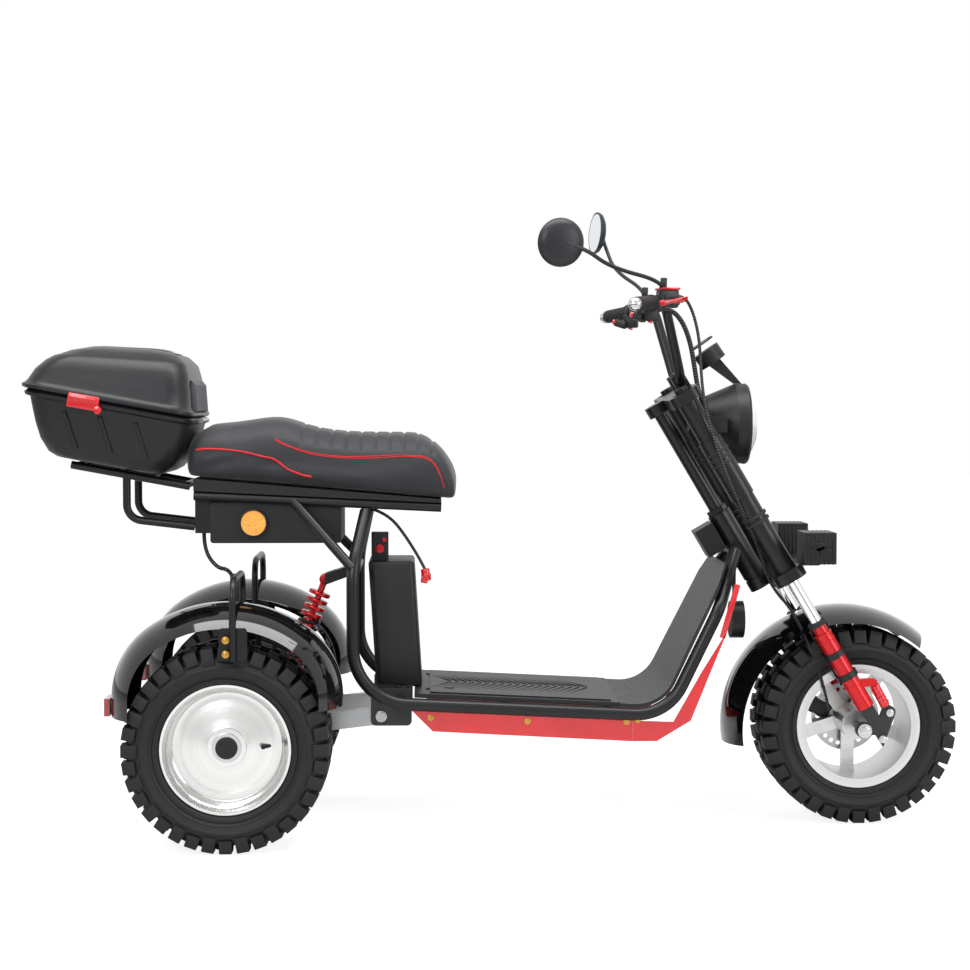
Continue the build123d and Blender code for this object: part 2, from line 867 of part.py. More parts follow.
# Padded backrest on the front of the lid, and the latches at its sides
pad_low = flange_thickness + overrun
lid_slope = (box_front - lid_mid_front) / lid_mid_height
with BuildPart() as backrest:
    with BuildSketch(Plane(origin=lid_seat.origin, x_dir=lid_seat.x_dir, z_dir=(0, -1, 0))):
        with BuildLine():
            Polyline(
                (box_front - pad_low * lid_slope + seat_gap, pad_low),
                (box_front - pad_low * lid_slope + seat_gap + pad_thickness, pad_low + pad_thickness / 2),
                (box_front - (pad_low + pad_height) * lid_slope + pad_thickness, pad_low + pad_height * 0.7),
                (box_front - (pad_low + pad_height * 0.8) * lid_slope + seat_gap, pad_low + pad_height * 0.8),
                close=True,
            )
        make_face()
    extrude(amount=pad_half_width, both=True)
save(backrest.part, "backrest")
for side_name, side in sides:
    with BuildPart() as box_latch:
        with BuildSketch(
            Plane(
                origin=lid_seat.from_local_coords(
                    (-latch_rear, side * (box_half_width + flange_side + seat_gap), 0)
                ),
                x_dir=box_forward,
                z_dir=(0, side, 0),
            )
        ):
            RectangleRounded(latch_length, latch_height, latch_thickness / 2)
        extrude(amount=latch_thickness)
    save(box_latch.part, "box_latch_" + side_name)

# Hinge at the front of the box: a pin with ears on the lower shell and a knuckle on the lid
hinge_point = box_seat.from_local_coords(
    (box_front + flange_front + hinge_radius + seat_gap, 0, box_depth + lid_gap / 2)
)
with BuildPart() as box_hinge:
    cross_bar(hinge_point.X, hinge_point.Z, hinge_radius, hinge_half_width)
save(box_hinge.part, "box_hinge")

# The fender loops stand just outside the fenders' edges
loop_outer_y = rear_wheel_y + fender_half_width + seat_gap + fender_plate_thickness + loop_radius * 0.8
loop_inner_y = 2 * rear_wheel_y - loop_outer_y

# Swingarm: two arms from the pivot to the axle beam, the motor in the middle
with BuildPart() as swingarm:
    cross_bar(rear_axle_x, axle_z, axle_beam_radius, axle_beam_half)
    cross_bar(rear_axle_x, axle_z, axle_stub_radius - seat_gap, rear_wheel_y + rear_disc_outset - running_gap)
    cross_bar(rear_axle_x, axle_z, motor_radius, motor_half_width)
    for side in (-1, 1):
        with BuildSketch(Plane.XZ.offset(-side * arm_half_gap)):
            Polygon(
                (rear_axle_x, axle_z + arm_half_height),
                (rear_axle_x, axle_z - arm_half_height),
                (pivot_x, pivot_z - arm_half_height),
                (pivot_x, pivot_z + arm_half_height),
                align=None,
            )
        extrude(amount=arm_half_width, both=True)
    cross_bar(pivot_x, pivot_z, pivot_radius, arm_half_gap + arm_half_width + 3 * pivot_plate_thickness)
    for side in (-1, 1):
        with Locations((loop_x, side * loop_inner_y, axle_z)):
            Box(
                2 * loop_pad_half, 2 * loop_pad_half, axle_beam_radius + loop_pad_height,
                align=(Align.CENTER, Align.CENTER, Align.MIN),
            )
    with BuildSketch(Plane.XZ):
        with Locations((shock_low_x, shock_low_z)):
            Polygon(
                (-shock_eye_radius, shock_eye_radius), (shock_eye_radius, shock_eye_radius),
                (2 * shock_eye_radius, -shock_low_z + axle_z - arm_half_height),
                (-2 * shock_eye_radius, -shock_low_z + axle_z - arm_half_height),
                align=None,
            )
    extrude(amount=shock_eye_half + hanger_thickness, both=True)
    cross_bar(shock_low_x, axle_z, arm_half_height, arm_half_gap)
    with BuildSketch(Plane.XZ):
        with Locations((shock_low_x, shock_low_z)):
            Rectangle(6 * shock_eye_radius, 4 * shock_eye_radius)
    extrude(amount=shock_eye_half, both=True, mode=Mode.SUBTRACT)
save(swingarm.part, "swingarm")

# Pivot plates between the frame and the swingarm
with BuildPart() as pivot_plates:
    for side in (-1, 1):
        with BuildSketch(Plane.XZ.offset(-side * (arm_half_gap + arm_half_width + pivot_plate_thickness))):
            with Locations((pivot_x + pivot_plate_length / 4, pivot_z + pivot_plate_height / 4)):
                RectangleRounded(pivot_plate_length, pivot_plate_height, pivot_radius)
            with Locations((pivot_x, pivot_z)):
                Circle(pivot_radius + seat_gap, mode=Mode.SUBTRACT)
            with Locations((deck_cross_xs[0], chassis_z(deck_cross_xs[0], deck_line_z, hoop_rear_x))):
                Circle(cross_tube_radius + seat_gap, mode=Mode.SUBTRACT)
        extrude(amount=pivot_plate_thickness / 2, both=True)
save(pivot_plates.part, "pivot_plates")

# Rear shock absorber: an eye at each end, body, rod, collars and a coil spring
shock_axis = Vector(shock_low_x - shock_top_x, 0, shock_low_z - shock_top_z)
shock_length = shock_axis.length
shock_plane = Plane(origin=(shock_top_x, 0, shock_top_z), z_dir=shock_axis)
with BuildPart() as rear_shock:
    cross_bar(shock_top_x, shock_top_z, shock_eye_radius, shock_eye_half - seat_gap)
    cross_bar(shock_low_x, shock_low_z, shock_eye_radius, shock_eye_half - seat_gap)
    with BuildSketch(shock_plane):
        Circle(shock_rod_radius)
    extrude(amount=shock_length)
    with BuildSketch(shock_plane.offset(shock_eye_radius)):
        Circle(shock_body_radius)
    extrude(amount=shock_length / 4)
    for turn in range(coil_turns):
        with BuildSketch(shock_plane.offset(shock_length * (0.28 + 0.6 * turn / coil_turns))):
            Circle(coil_radius)
        extrude(amount=coil_wire_radius * 2)
save(rear_shock.part, "rear_shock")


def fender_section(plane, half_width, crown):
    with BuildSketch(plane) as section:
        with BuildLine():
            outer = ThreePointArc((-crown, -half_width), (0, 0), (-crown, half_width))
            inner = ThreePointArc(
                (-crown, half_width - fender_wall),
                (-fender_wall, 0),
                (-crown, -half_width + fender_wall),
            )
            Line(outer @ 1, inner @ 0)
            Line(inner @ 1, outer @ 0)
        make_face()
    return section.sketch


# Rear fenders, each an arch of a side arc, a flatter top arc and a side arc
for side_name, side in sides:
    with BuildPart() as rear_fender:
        with BuildLine(Plane.XZ.offset(-side * rear_wheel_y)) as arch:
            tail = Line((fender_rear_x, fender_spring_z - fender_tail), (fender_rear_x, fender_spring_z))
            rise = JernArc(start=tail @ 1, tangent=tail % 1, radius=fender_side_radius, arc_size=-fender_side_arc)
            top = JernArc(start=rise @ 1, tangent=rise % 1, radius=fender_top_radius, arc_size=-fender_top_arc)
            fall = JernArc(start=top @ 1, tangent=top % 1, radius=fender_side_radius, arc_size=-fender_side_arc)
            nose = Line(fall @ 1, fall @ 1 - Vector(0, 0, fender_tail / 2))
        section = fender_section(
            Plane(origin=arch.line @ 0, x_dir=(-1, 0, 0), z_dir=(0, 0, 1)), fender_half_width, fender_crown
        )
        sweep(section, path=arch.line)
    save(rear_fender.part, "rear_fender_" + side_name)

# Tube loop over each rear fender, with a screw plate at each edge of the fender
for side_name, side in sides:
    with BuildPart() as fender_loop:
        tube(
            [
                (loop_x, side * loop_outer_y, loop_foot_z),
                (loop_x, side * loop_outer_y, loop_top_z),
                (loop_x, side * loop_inner_y, loop_top_z),
                (loop_x, side * loop_inner_y, axle_z + axle_beam_radius + loop_pad_height + seat_gap),
            ],
            loop_radius,
            loop_bend,
        )
        for edge in (-1, 1):
            plate_y = rear_wheel_y + edge * (fender_half_width + seat_gap + fender_plate_thickness / 2)
            with BuildSketch(Plane.XZ.offset(-side * plate_y)):
                with Locations((loop_x, loop_foot_z + fender_plate_height / 2)):
                    RectangleRounded(fender_plate_length, fender_plate_height, loop_radius)
            extrude(amount=fender_plate_thickness / 2, both=True)
    save(fender_loop.part, "fender_loop_" + side_name)

# Reflectors: an amber one each side of the controller box and a red one behind
for side_name, side in sides:
    with BuildPart() as amber_reflector:
        with BuildSketch(Plane.XZ.offset(-side * (controller_half_width + seat_gap))):
            with Locations(((controller_rear_x * 2 + controller_front_x) / 3, controller_top - controller_height / 2)):
                Circle(reflector_radius)
        extrude(amount=-side * reflector_depth)
    save(amber_reflector.part, "amber_reflector_" + side_name)
for side_name, side in sides:
    with BuildPart() as tail_reflector:
        with Locations((fender_rear_x - tail_reflector_length / 2 - seat_gap, side * rear_wheel_y, fender_spring_z - fender_tail / 2)):
            Box(tail_reflector_length, 2 * tail_reflector_half_width, tail_reflector_height)
    save(tail_reflector.part, "tail_reflector_" + side_name)

# The handlebar's clamp and the lamp plate, placed from the steering axis
bar_clamp_f = steer_plane.to_local_coords(Vector(bar_clamp_x, 0, bar_clamp_z)).X
bar_clamp_s = steer_plane.to_local_coords(Vector(bar_clamp_x, 0, bar_clamp_z)).Z
lamp_corner = steer_plane.from_local_coords(
    (leg_offset + cover_radius + clamp_margin, 0, head_tube_low - running_gap)
)
lamp_plate_x = lamp_corner.X - lamp_plate_thickness
lamp_plate_z = lamp_corner.Z

# Fork: bottom and top clamps, the stem between them and the two upper covers
leg_spots = [(leg_offset, -leg_half_gap), (leg_offset, leg_half_gap)]
with BuildPart() as fork_clamps:
    for height in (head_tube_low - running_gap - clamp_thickness, top_clamp_height):
        with BuildSketch(steer_plane.offset(height)):
            with Locations((leg_offset, 0)):
                RectangleRounded(
                    2 * (cover_radius + clamp_margin), 2 * (leg_half_gap + cover_radius + clamp_margin),
                    cover_radius,
                )
            Circle(head_tube_radius)
        extrude(amount=clamp_thickness)
    with BuildSketch(steer_plane.offset(head_tube_low - running_gap)):
        Circle(head_tube_radius - hanger_thickness - running_gap / 2)
    extrude(amount=top_clamp_height - head_tube_low + running_gap)
    with BuildSketch(steer_plane.offset(head_tube_low - running_gap)):
        Circle(bearing_radius)
    extrude(amount=running_gap - seat_gap)
    with BuildSketch(steer_plane.offset(head_tube_high + seat_gap)):
        RegularPolygon(bearing_radius, 6)
    extrude(amount=running_gap * 2)
    with BuildSketch(steer_plane.offset(top_clamp_height)):
        with Locations((bar_clamp_f, -bar_clamp_y / 2), (bar_clamp_f, bar_clamp_y / 2)):
            Rectangle(3 * bar_radius, 2 * bar_radius)
    extrude(amount=bar_clamp_s - top_clamp_height + 1.6 * bar_radius)
    cross_bar_cut(bar_clamp_x, bar_clamp_z, bar_radius + seat_gap, leg_half_gap)
    with Locations((lamp_plate_x, 0, lamp_plate_z)):
        Box(lamp_plate_length, 2 * aux_y, lamp_plate_thickness, align=(Align.MIN, Align.CENTER, Align.MAX))
    for height in (head_tube_low - running_gap - clamp_thickness, top_clamp_height):
        with BuildSketch(steer_plane.offset(height)):
            with Locations(*leg_spots):
                Circle(cover_radius + seat_gap)
        extrude(amount=clamp_thickness, mode=Mode.SUBTRACT)
save(fork_clamps.part, "fork_clamps")

with BuildPart() as fork_covers:
    with BuildSketch(steer_plane.offset(cover_low - clamp_thickness)):
        with Locations(*leg_spots):
            Circle(cover_radius)
    extrude(amount=cover_high - cover_low + clamp_thickness)
    with BuildSketch(steer_plane.offset(cover_step_height)):
        with Locations(*leg_spots):
            Circle(cover_step_radius)
    extrude(amount=cover_step_height)
    with BuildSketch(steer_plane.offset(cover_high)):
        with Locations(*leg_spots):
            Circle(cap_radius)
    extrude(amount=cap_height)
save(fork_covers.part, "fork_covers")

leg_foot = steer_plane.offset(-leg_foot_drop)
with BuildPart() as fork_stanchions:
    with BuildSketch(steer_plane.offset(stanchion_low)):
        with Locations(*leg_spots):
            Circle(stanchion_radius)
    extrude(amount=cover_low - clamp_thickness - stanchion_low)
save(fork_stanchions.part, "fork_stanchions")

lug_spot = steer_plane.from_local_coords((leg_offset, 0, small_shock_rise - leg_foot_drop))
lug_root_point = (lug_spot.X, lug_spot.Z)
with BuildPart() as fork_lowers:
    with BuildSketch(steer_plane.offset(lower_top - lower_radius)):
        with Locations(*leg_spots):
            Circle(lower_neck_radius)
    extrude(amount=lower_radius)
    with BuildSketch(leg_foot):
        with Locations(*leg_spots):
            Circle(lower_radius)
    extrude(amount=leg_foot_drop + lower_top - lower_radius)
    for side in (-1, 1):
        with BuildSketch(Plane.XZ.offset(-side * leg_half_gap)):
            with BuildLine():
                lug_path = Line(lug_root_point, (small_shock_top_x, small_shock_top_z))
            trace(lug_path, 2 * shock_lug_radius)
            with Locations((small_shock_top_x, small_shock_top_z)):
                Circle(shock_lug_radius)
        extrude(amount=link_thickness / 2, both=True)
    with BuildSketch(steer_plane.offset(stanchion_low - seat_gap)):
        with Locations(*leg_spots):
            Circle(stanchion_radius + seat_gap)
    extrude(amount=-stanchion_low, mode=Mode.SUBTRACT)
save(fork_lowers.part, "fork_lowers")

# Link castings at the fork feet, and the front axle with its nuts
foot_point = leg_foot.from_local_coords((leg_offset, 0, 0))
with BuildPart() as fork_links:
    for side in (-1, 1):
        with BuildSketch(Plane.XZ.offset(-side * leg_half_gap)):
            with BuildLine():
                link_path = Polyline(
                    (foot_point.X, foot_point.Z),
                    (link_pivot_x, link_pivot_z + link_arm_radius),
                    (link_top_x, link_top_z),
                )
            trace(link_path, 2 * link_arm_radius)
            with Locations((foot_point.X, foot_point.Z), (link_top_x, link_top_z)):
                Circle(link_arm_radius)
            with BuildLine():
                axle_path = Line((front_axle_x, axle_z), (link_pivot_x, link_pivot_z + link_arm_radius))
            trace(axle_path, link_axle_radius)
            with Locations((front_axle_x, axle_z)):
                Circle(link_axle_radius)
        extrude(amount=link_thickness / 2, both=True)
        with BuildSketch(Plane.XZ.offset(-side * (leg_half_gap + link_thickness / 2))):
            with Locations((front_axle_x, axle_z)):
                RegularPolygon(axle_nut_radius, 6)
        extrude(amount=-side * axle_nut_height)
    cross_bar(front_axle_x, axle_z, front_axle_radius, leg_half_gap)
    with BuildSketch(leg_foot.offset(-seat_gap)):
        with Locations(*leg_spots):
            Circle(lower_radius + overrun)
    extrude(amount=leg_foot_drop / 2, mode=Mode.SUBTRACT)
save(fork_links.part, "fork_links")

# Small shocks between a lug on each fork leg and the top of its link
small_shock_top = Vector(small_shock_top_x, 0, small_shock_top_z)
small_shock_axis = (Vector(link_top_x, 0, link_top_z) - small_shock_top).normalized()
small_shock_length = (Vector(link_top_x, 0, link_top_z) - small_shock_top).length
with BuildPart() as link_shocks:
    with BuildSketch(
        Plane(
            origin=small_shock_top + small_shock_axis * (shock_lug_radius + seat_gap),
            x_dir=(0, 1, 0),
            z_dir=small_shock_axis,
        )
    ):
        with Locations((-leg_half_gap, 0), (leg_half_gap, 0)):
            Circle(small_shock_radius)
    extrude(amount=small_shock_length - shock_lug_radius - link_arm_radius - 2 * seat_gap)
save(link_shocks.part, "link_shocks")

# Front fender, an arch of the same curved section held by clamps on the fork legs
fender_x = front_axle_x + front_fender_dx
fender_z = axle_z + front_fender_dz
start_dir = (cos(radians(front_fender_start)), 0, sin(radians(front_fender_start)))
with BuildPart() as front_fender:
    section = fender_section(
        Plane(
            origin=(
                fender_x + front_fender_radius * start_dir[0], 0, fender_z + front_fender_radius * start_dir[2]
            ),
            x_dir=start_dir,
            z_dir=(-start_dir[2], 0, start_dir[0]),
        ),
        front_fender_half_width,
        front_fender_crown,
    )
    revolve(
        section,
        axis=Axis((fender_x, 0, fender_z), (0, -1, 0)),
        revolution_arc=front_fender_arc,
    )
    tab_low = steer_plane.from_local_coords((leg_offset, 0, lower_top - fender_tab_drop))
    tab_high = steer_plane.from_local_coords((leg_offset, 0, lower_top - overrun))
    tab_y = front_fender_half_width - fender_tab_thickness / 2
    for side in (-1, 1):
        with BuildSketch(Plane.XZ.offset(-side * tab_y)):
            with BuildLine():
                tab_path = Line((tab_high.X, tab_high.Z), (tab_low.X, tab_low.Z))
            trace(tab_path, fender_tab_length)
        extrude(amount=fender_tab_thickness / 2, both=True)
save(front_fender.part, "front_fender")

# Clamps that hold the front fender's tabs to the fork legs
with BuildPart() as fender_clamps:
    for share in fender_clamp_shares:
        with BuildSketch(steer_plane.offset(lower_top - fender_tab_drop * share)):
            with Locations(*leg_spots):
                Circle(lower_radius + clamp_ring)
                Circle(lower_radius + seat_gap, mode=Mode.SUBTRACT)
        extrude(amount=clamp_ring_height)
    with BuildSketch(Plane.XZ):
        Rectangle(2 * overall_length, 2 * overall_length)
    extrude(amount=front_fender_half_width + seat_gap, both=True, mode=Mode.SUBTRACT)
save(fender_clamps.part, "fender_clamps")

# Handlebar: one bent tube that rises from the top clamp and sweeps back
bar_half = [
    (bar_end_x, -bar_half_width, bar_end_z),
    (bar_corner_x, -bar_corner_y, bar_top_z),
    (bar_clamp_x, -bar_clamp_y, bar_clamp_z),
]
with BuildPart() as handlebar:
    tube(
        [*bar_half, *[(x, -y, z) for x, y, z in reversed(bar_half)]],
        bar_radius,
        [4 * bar_radius, 2.5 * bar_radius, 2.5 * bar_radius, 4 * bar_radius],
    )
    with Locations((bar_end_x, -bar_half_width, bar_end_z), (bar_end_x, bar_half_width, bar_end_z)):
        Sphere(bar_end_radius)
save(handlebar.part, "handlebar")

bar_end = Vector(*bar_half[0])
bar_inward = (Vector(*bar_half[1]) - bar_end).normalized()
grip_start = bar_end + bar_inward * grip_gap
for side_name, side in sides:
    with BuildPart() as grip:
        with BuildSketch(
            Plane(
                origin=(grip_start.X, side * -grip_start.Y, grip_start.Z),
                z_dir=(bar_inward.X, side * -bar_inward.Y, bar_inward.Z),
            )
        ):
            Circle(grip_radius)
            Circle(bar_radius + seat_gap, mode=Mode.SUBTRACT)
        extrude(amount=grip_length)
    save(grip.part, "grip_" + side_name)

# Headlight housing and lens, carried between the fork legs
with BuildPart() as headlight_housing:
    with BuildSketch(Plane.YZ.offset(headlight_x)):
        with Locations((0, headlight_z)):
            Circle(headlight_radius * 0.7)
    with BuildSketch(Plane.YZ.offset(headlight_x + headlight_depth - rim_band)) as band:
        with Locations((0, headlight_z)):
            Circle(headlight_radius)
    loft()
    extrude(band.sketch, amount=rim_band)
    for side in (-1, 1):
        ear_root = headlight_radius * 0.6
        with Locations((headlight_x - ear_reach, side * ear_root, headlight_z)):
            Box(
                ear_reach + ear_height, leg_half_gap - cover_radius - seat_gap - ear_root, ear_height,
                align=(Align.MIN, Align.MAX if side < 0 else Align.MIN, Align.CENTER),
            )
save(headlight_housing.part, "headlight_housing")

with BuildPart() as headlight_lens:
    with BuildSketch(Plane.YZ.offset(headlight_x + headlight_depth + seat_gap)):
        with Locations((0, headlight_z)):
            Circle(lens_radius)
    extrude(amount=lens_depth)
save(headlight_lens.part, "headlight_lens")

# Round gauge above the headlight, tilted to the rider
gauge_plane = Plane(
    origin=(gauge_x, 0, gauge_z),
    x_dir=(cos(radians(gauge_tilt)), 0, sin(radians(gauge_tilt))),
    z_dir=(-sin(radians(gauge_tilt)), 0, cos(radians(gauge_tilt))),
)
with BuildPart() as gauge:
    with BuildSketch(gauge_plane):
        Circle(gauge_radius)
    extrude(amount=-gauge_depth)
    with BuildSketch(Plane.XZ):
        with BuildLine():
            Polyline(
                (gauge_x - gauge_depth / 2, gauge_z - gauge_depth / 2),
                (gauge_x + gauge_radius / 2, gauge_z),
                (headlight_x + headlight_depth, headlight_z + headlight_radius + seat_gap),
                (headlight_x + headlight_depth - rim_band, headlight_z + headlight_radius + seat_gap),
                close=True,
            )
        make_face()
    extrude(amount=gauge_depth / 6, both=True)
save(gauge.part, "gauge")

# Auxiliary lamps on the bottom clamp
for side_name, side in sides:
    with BuildPart() as aux_lamp:
        with Locations((aux_x, side * aux_y, lamp_plate_z + seat_gap)):
            Box(aux_depth, 2 * aux_half_width, aux_height, align=(Align.CENTER, Align.CENTER, Align.MIN))
    save(aux_lamp.part, "aux_lamp_" + side_name)

# Mirrors on bent stalks: the right one is turned flat to the side
mirror_points = {
    "right": [(356, -190, 1206), (286, -258, 1236), (171, -430, 1302)],
    "left": [(356, 190, 1206), (318, 258, 1262), (262, 386, 1392)],
}
for side_name, side in sides:
    with BuildPart() as mirror:
        stalk = mirror_points[side_name]
        bar(stalk[0], stalk[1], stalk_radius)
        bar(stalk[1], stalk[2], stalk_radius)
        with Locations(stalk[1]):
            Sphere(stalk_radius)
        collar = Vector(*bar_half[0]) + bar_inward * mirror_collar_reach
        with BuildSketch(
            Plane(
                origin=(collar.X, -side * collar.Y, collar.Z),
                z_dir=(bar_inward.X, -side * bar_inward.Y, bar_inward.Z),
            )
        ) as ring:
            Circle(grip_radius)
            Circle(bar_radius + seat_gap, mode=Mode.SUBTRACT)
        extrude(ring.sketch, amount=mirror_collar_length / 2, both=True)
        face_normal = (0, -1, 0) if side < 0 else (1, 0, 0)
        with BuildSketch(Plane(origin=stalk[2], z_dir=face_normal)) as face:
            Circle(mirror_radius)
        extrude(face.sketch, amount=mirror_thickness / 2, both=True)
    save(mirror.part, "mirror_" + side_name)

# Horn hung on a strap from the frame's neck tube
strap_spot = steer_plane.from_local_coords((-head_tube_radius - seat_gap, 0, 2 * overrun))
strap_top = strap_spot.Z - panel_thickness
with BuildPart() as horn:
    with BuildSketch(Plane.YZ.offset(horn_x)):
        with Locations((0, horn_z)):
            Circle(horn_radius)
    extrude(amount=horn_depth / 2, both=True)
    with Locations((strap_spot.X, 0, horn_z)):
        Box(
            panel_thickness, horn_depth, strap_top - horn_z, align=(Align.CENTER, Align.CENTER, Align.MIN)
        )
save(horn.part, "horn")

# Wiring box on the back of the head tube
with BuildPart() as neck_box:
    with BuildSketch(steer_plane.offset(neck_box_low)):
        with Locations((-head_tube_radius - seat_gap - neck_box_length / 2, 0)):
            Rectangle(neck_box_length, 2 * neck_box_half_width)
    extrude(amount=neck_box_height)
save(neck_box.part, "neck_box")
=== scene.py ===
from math import cos, pi, radians, sin

import bpy
from mathutils import Matrix, Vector


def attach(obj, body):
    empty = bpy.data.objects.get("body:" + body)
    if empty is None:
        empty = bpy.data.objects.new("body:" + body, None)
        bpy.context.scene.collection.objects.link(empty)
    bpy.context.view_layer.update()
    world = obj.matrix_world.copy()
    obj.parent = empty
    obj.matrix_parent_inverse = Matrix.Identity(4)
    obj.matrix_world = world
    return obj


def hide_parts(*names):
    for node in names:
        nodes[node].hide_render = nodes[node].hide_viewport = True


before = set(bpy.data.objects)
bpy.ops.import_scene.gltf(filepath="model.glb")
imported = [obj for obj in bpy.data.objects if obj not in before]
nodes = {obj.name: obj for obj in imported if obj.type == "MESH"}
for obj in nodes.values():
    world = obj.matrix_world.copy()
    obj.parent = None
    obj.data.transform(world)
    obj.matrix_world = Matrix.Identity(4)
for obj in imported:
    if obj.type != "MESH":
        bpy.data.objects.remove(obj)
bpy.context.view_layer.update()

bpy.ops.object.select_all(action="DESELECT")


# Main frame: two hoops of bent steel tube, seat rails, hangers and a head tube.
# Welded mild steel under satin black powder coat, with the coat's faint orange peel.
def linear(code):
    channels = [int(code[i:i + 2], 16) / 255 for i in (0, 2, 4)]
    return [c / 12.92 if c <= 0.04045 else ((c + 0.055) / 1.055) ** 2.4 for c in channels] + [1.0]


def add_node(tree, kind, inputs=None, **settings):
    node = tree.nodes.new(kind)
    for name, value in settings.items():
        setattr(node, name, value)
    for key, value in (inputs or {}).items():
        if isinstance(value, bpy.types.NodeSocket):
            tree.links.new(value, node.inputs[key])
        else:
            node.inputs[key].default_value = value
    return node


def start_material(name, colour, roughness, metallic=0.0):
    material = bpy.data.materials.new(name)
    material.use_nodes = True
    tree = material.node_tree
    surface = tree.nodes["Principled BSDF"]
    surface.inputs["Base Color"].default_value = linear(colour)
    surface.inputs["Roughness"].default_value = roughness
    surface.inputs["Metallic"].default_value = metallic
    place = add_node(tree, "ShaderNodeTexCoord").outputs["Object"]
    return material, tree, surface, place


def raise_grain(tree, surface, height, strength, distance):
    bump = add_node(
        tree, "ShaderNodeBump", {"Height": height, "Strength": strength, "Distance": distance}
    )
    tree.links.new(bump.outputs["Normal"], surface.inputs["Normal"])


def vary_colour(tree, surface, factor, first, second):
    mix = add_node(tree, "ShaderNodeMix", {"Factor": factor}, data_type="RGBA")
    mix.inputs[6].default_value = linear(first)
    mix.inputs[7].default_value = linear(second)
    tree.links.new(mix.outputs[2], surface.inputs["Base Color"])


def finish_in_noise(name, colours, roughness, grain_size, grain_depth, metallic=0.0, cloud_scale=9.0):
    material, tree, surface, place = start_material(name, colours[0], roughness, metallic)
    grain = add_node(tree, "ShaderNodeTexNoise", {"Vector": place, "Scale": 1 / grain_size, "Detail": 3.0})
    raise_grain(tree, surface, grain.outputs["Fac"], 0.5, grain_depth)
    cloud = add_node(tree, "ShaderNodeTexNoise", {"Vector": place, "Scale": cloud_scale, "Detail": 4.0})
    vary_colour(tree, surface, cloud.outputs["Fac"], *colours)
    if not metallic and roughness > 0.3:
        surface.inputs["Specular IOR Level"].default_value = 0.32
    return material, tree, surface, place


def dress(material, *names):
    for name in names:
        mesh = nodes[name].data
        mesh.materials.clear()
        mesh.materials.append(material)


powder_black = finish_in_noise("powder_black", ("0e0e10", "18191b"), 0.32, 0.0025, 0.00025)[0]
dress(
    powder_black, "main_frame", "rack", "fender_loop_left", "fender_loop_right", "handlebar",
    "fork_clamps", "fork_covers",
)


def hold(piece):
    bpy.ops.object.select_all(action="DESELECT")
    piece.select_set(True)
    bpy.context.view_layer.objects.active = piece
    return piece


def bring_in(name, data):
    piece = bpy.data.objects.new(name, data)
    bpy.context.collection.objects.link(piece)
    return hold(piece)


def start_piece(operator, **places):
    bpy.ops.object.select_all(action="DESELECT")
    operator(**places)
    return bpy.context.active_object


def change(piece, kind, **settings):
    modifier = piece.modifiers.new(kind.title(), kind)
    for name, value in settings.items():
        setattr(modifier, name, value)
    bpy.context.view_layer.objects.active = piece
    bpy.ops.object.modifier_apply(modifier=modifier.name)
    return piece


def join(pieces):
    bpy.ops.object.select_all(action="DESELECT")
    for piece in pieces:
        piece.select_set(True)
    bpy.context.view_layer.objects.active = pieces[0]
    bpy.ops.object.join()
    bpy.ops.object.transform_apply(location=True, rotation=True, scale=True)
    return bpy.context.active_object


def hand_over(piece, name, body, material, replaced=()):
    hold(piece)
    bpy.ops.object.transform_apply(location=True, rotation=True, scale=True)
    piece.name = name
    piece.data.name = name
    piece.data.materials.clear()
    piece.data.materials.append(material)
    bpy.ops.object.shade_smooth_by_angle(angle=radians(35))
    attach(piece, body)
    if replaced:
        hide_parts(*replaced)
    return piece


def rod(start, end, radius, sides=24, edge=0.0):
    start, end = Vector(start), Vector(end)
    run = end - start
    piece = start_piece(
        bpy.ops.mesh.primitive_cylinder_add, radius=radius, depth=run.length, vertices=sides,
        location=(start + end) / 2, rotation=run.to_track_quat("Z", "Y").to_euler(),
    )
    if edge:
        change(piece, "BEVEL", width=edge, segments=2, limit_method="ANGLE")
    return piece


def block(centre, size, edge, turn=(0, 0, 0)):
    turn = [radians(angle) for angle in turn]
    piece = start_piece(
        bpy.ops.mesh.primitive_cube_add, size=1, location=centre, rotation=turn, scale=size
    )
    bpy.ops.object.transform_apply(location=False, rotation=False, scale=True)
    change(piece, "BEVEL", width=edge, segments=3)
    return piece


def hose(route, radius):
    curve = bpy.data.curves.new("hose", "CURVE")
    curve.dimensions = "3D"
    spline = curve.splines.new("NURBS")
    spline.points.add(len(route) - 1)
    for point, spot in zip(spline.points, route):
        point.co = (*spot, 1.0)
    spline.order_u = 3
    spline.use_endpoint_u = True
    curve.bevel_depth = radius
    curve.bevel_resolution = 4
    curve.resolution_u = 10
    curve.use_fill_caps = True
    bring_in("hose", curve)
    bpy.ops.object.convert(target="MESH")
    return bpy.context.active_object


def in_metres(route):
    return [tuple(value / 1000 for value in spot) for spot in route]


# Bolts and screws: brass heads on the side panels and fender plates, zinc ones on the pivots, axle and links.
# Pressed steel with bright plating; each is a washer, a bevelled hexagon and a small round centre.
brass = finish_in_noise("brass_plating", ("c79a4e", "a87a36"), 0.28, 0.0015, 0.0001, metallic=1.0)[0]
zinc = finish_in_noise("bright_zinc", ("d3d4d2", "a9abac"), 0.22, 0.0015, 0.0001, metallic=1.0)[0]
screw_rows = [
    (
        "panel_screws", "frame", brass, 0.2022, 0.0055,
        [(-0.137, 0.268), (0.079, 0.2595), (0.300, 0.2573), (0.3244, 0.2617)],
    ),
    ("fender_screws", "frame", brass, 0.3999, 0.0060, [(-0.5700, 0.4660), (-0.5700, 0.4360)]),
    ("pivot_bolts", "frame", zinc, 0.1452, 0.0095, [(-0.248, 0.262)]),
    ("axle_nuts", "steering", zinc, 0.1520, 0.0120, [(0.845, 0.225)]),
    ("link_bolts", "steering", zinc, 0.1522, 0.0065, [(0.886, 0.206), (0.902, 0.266)]),
]
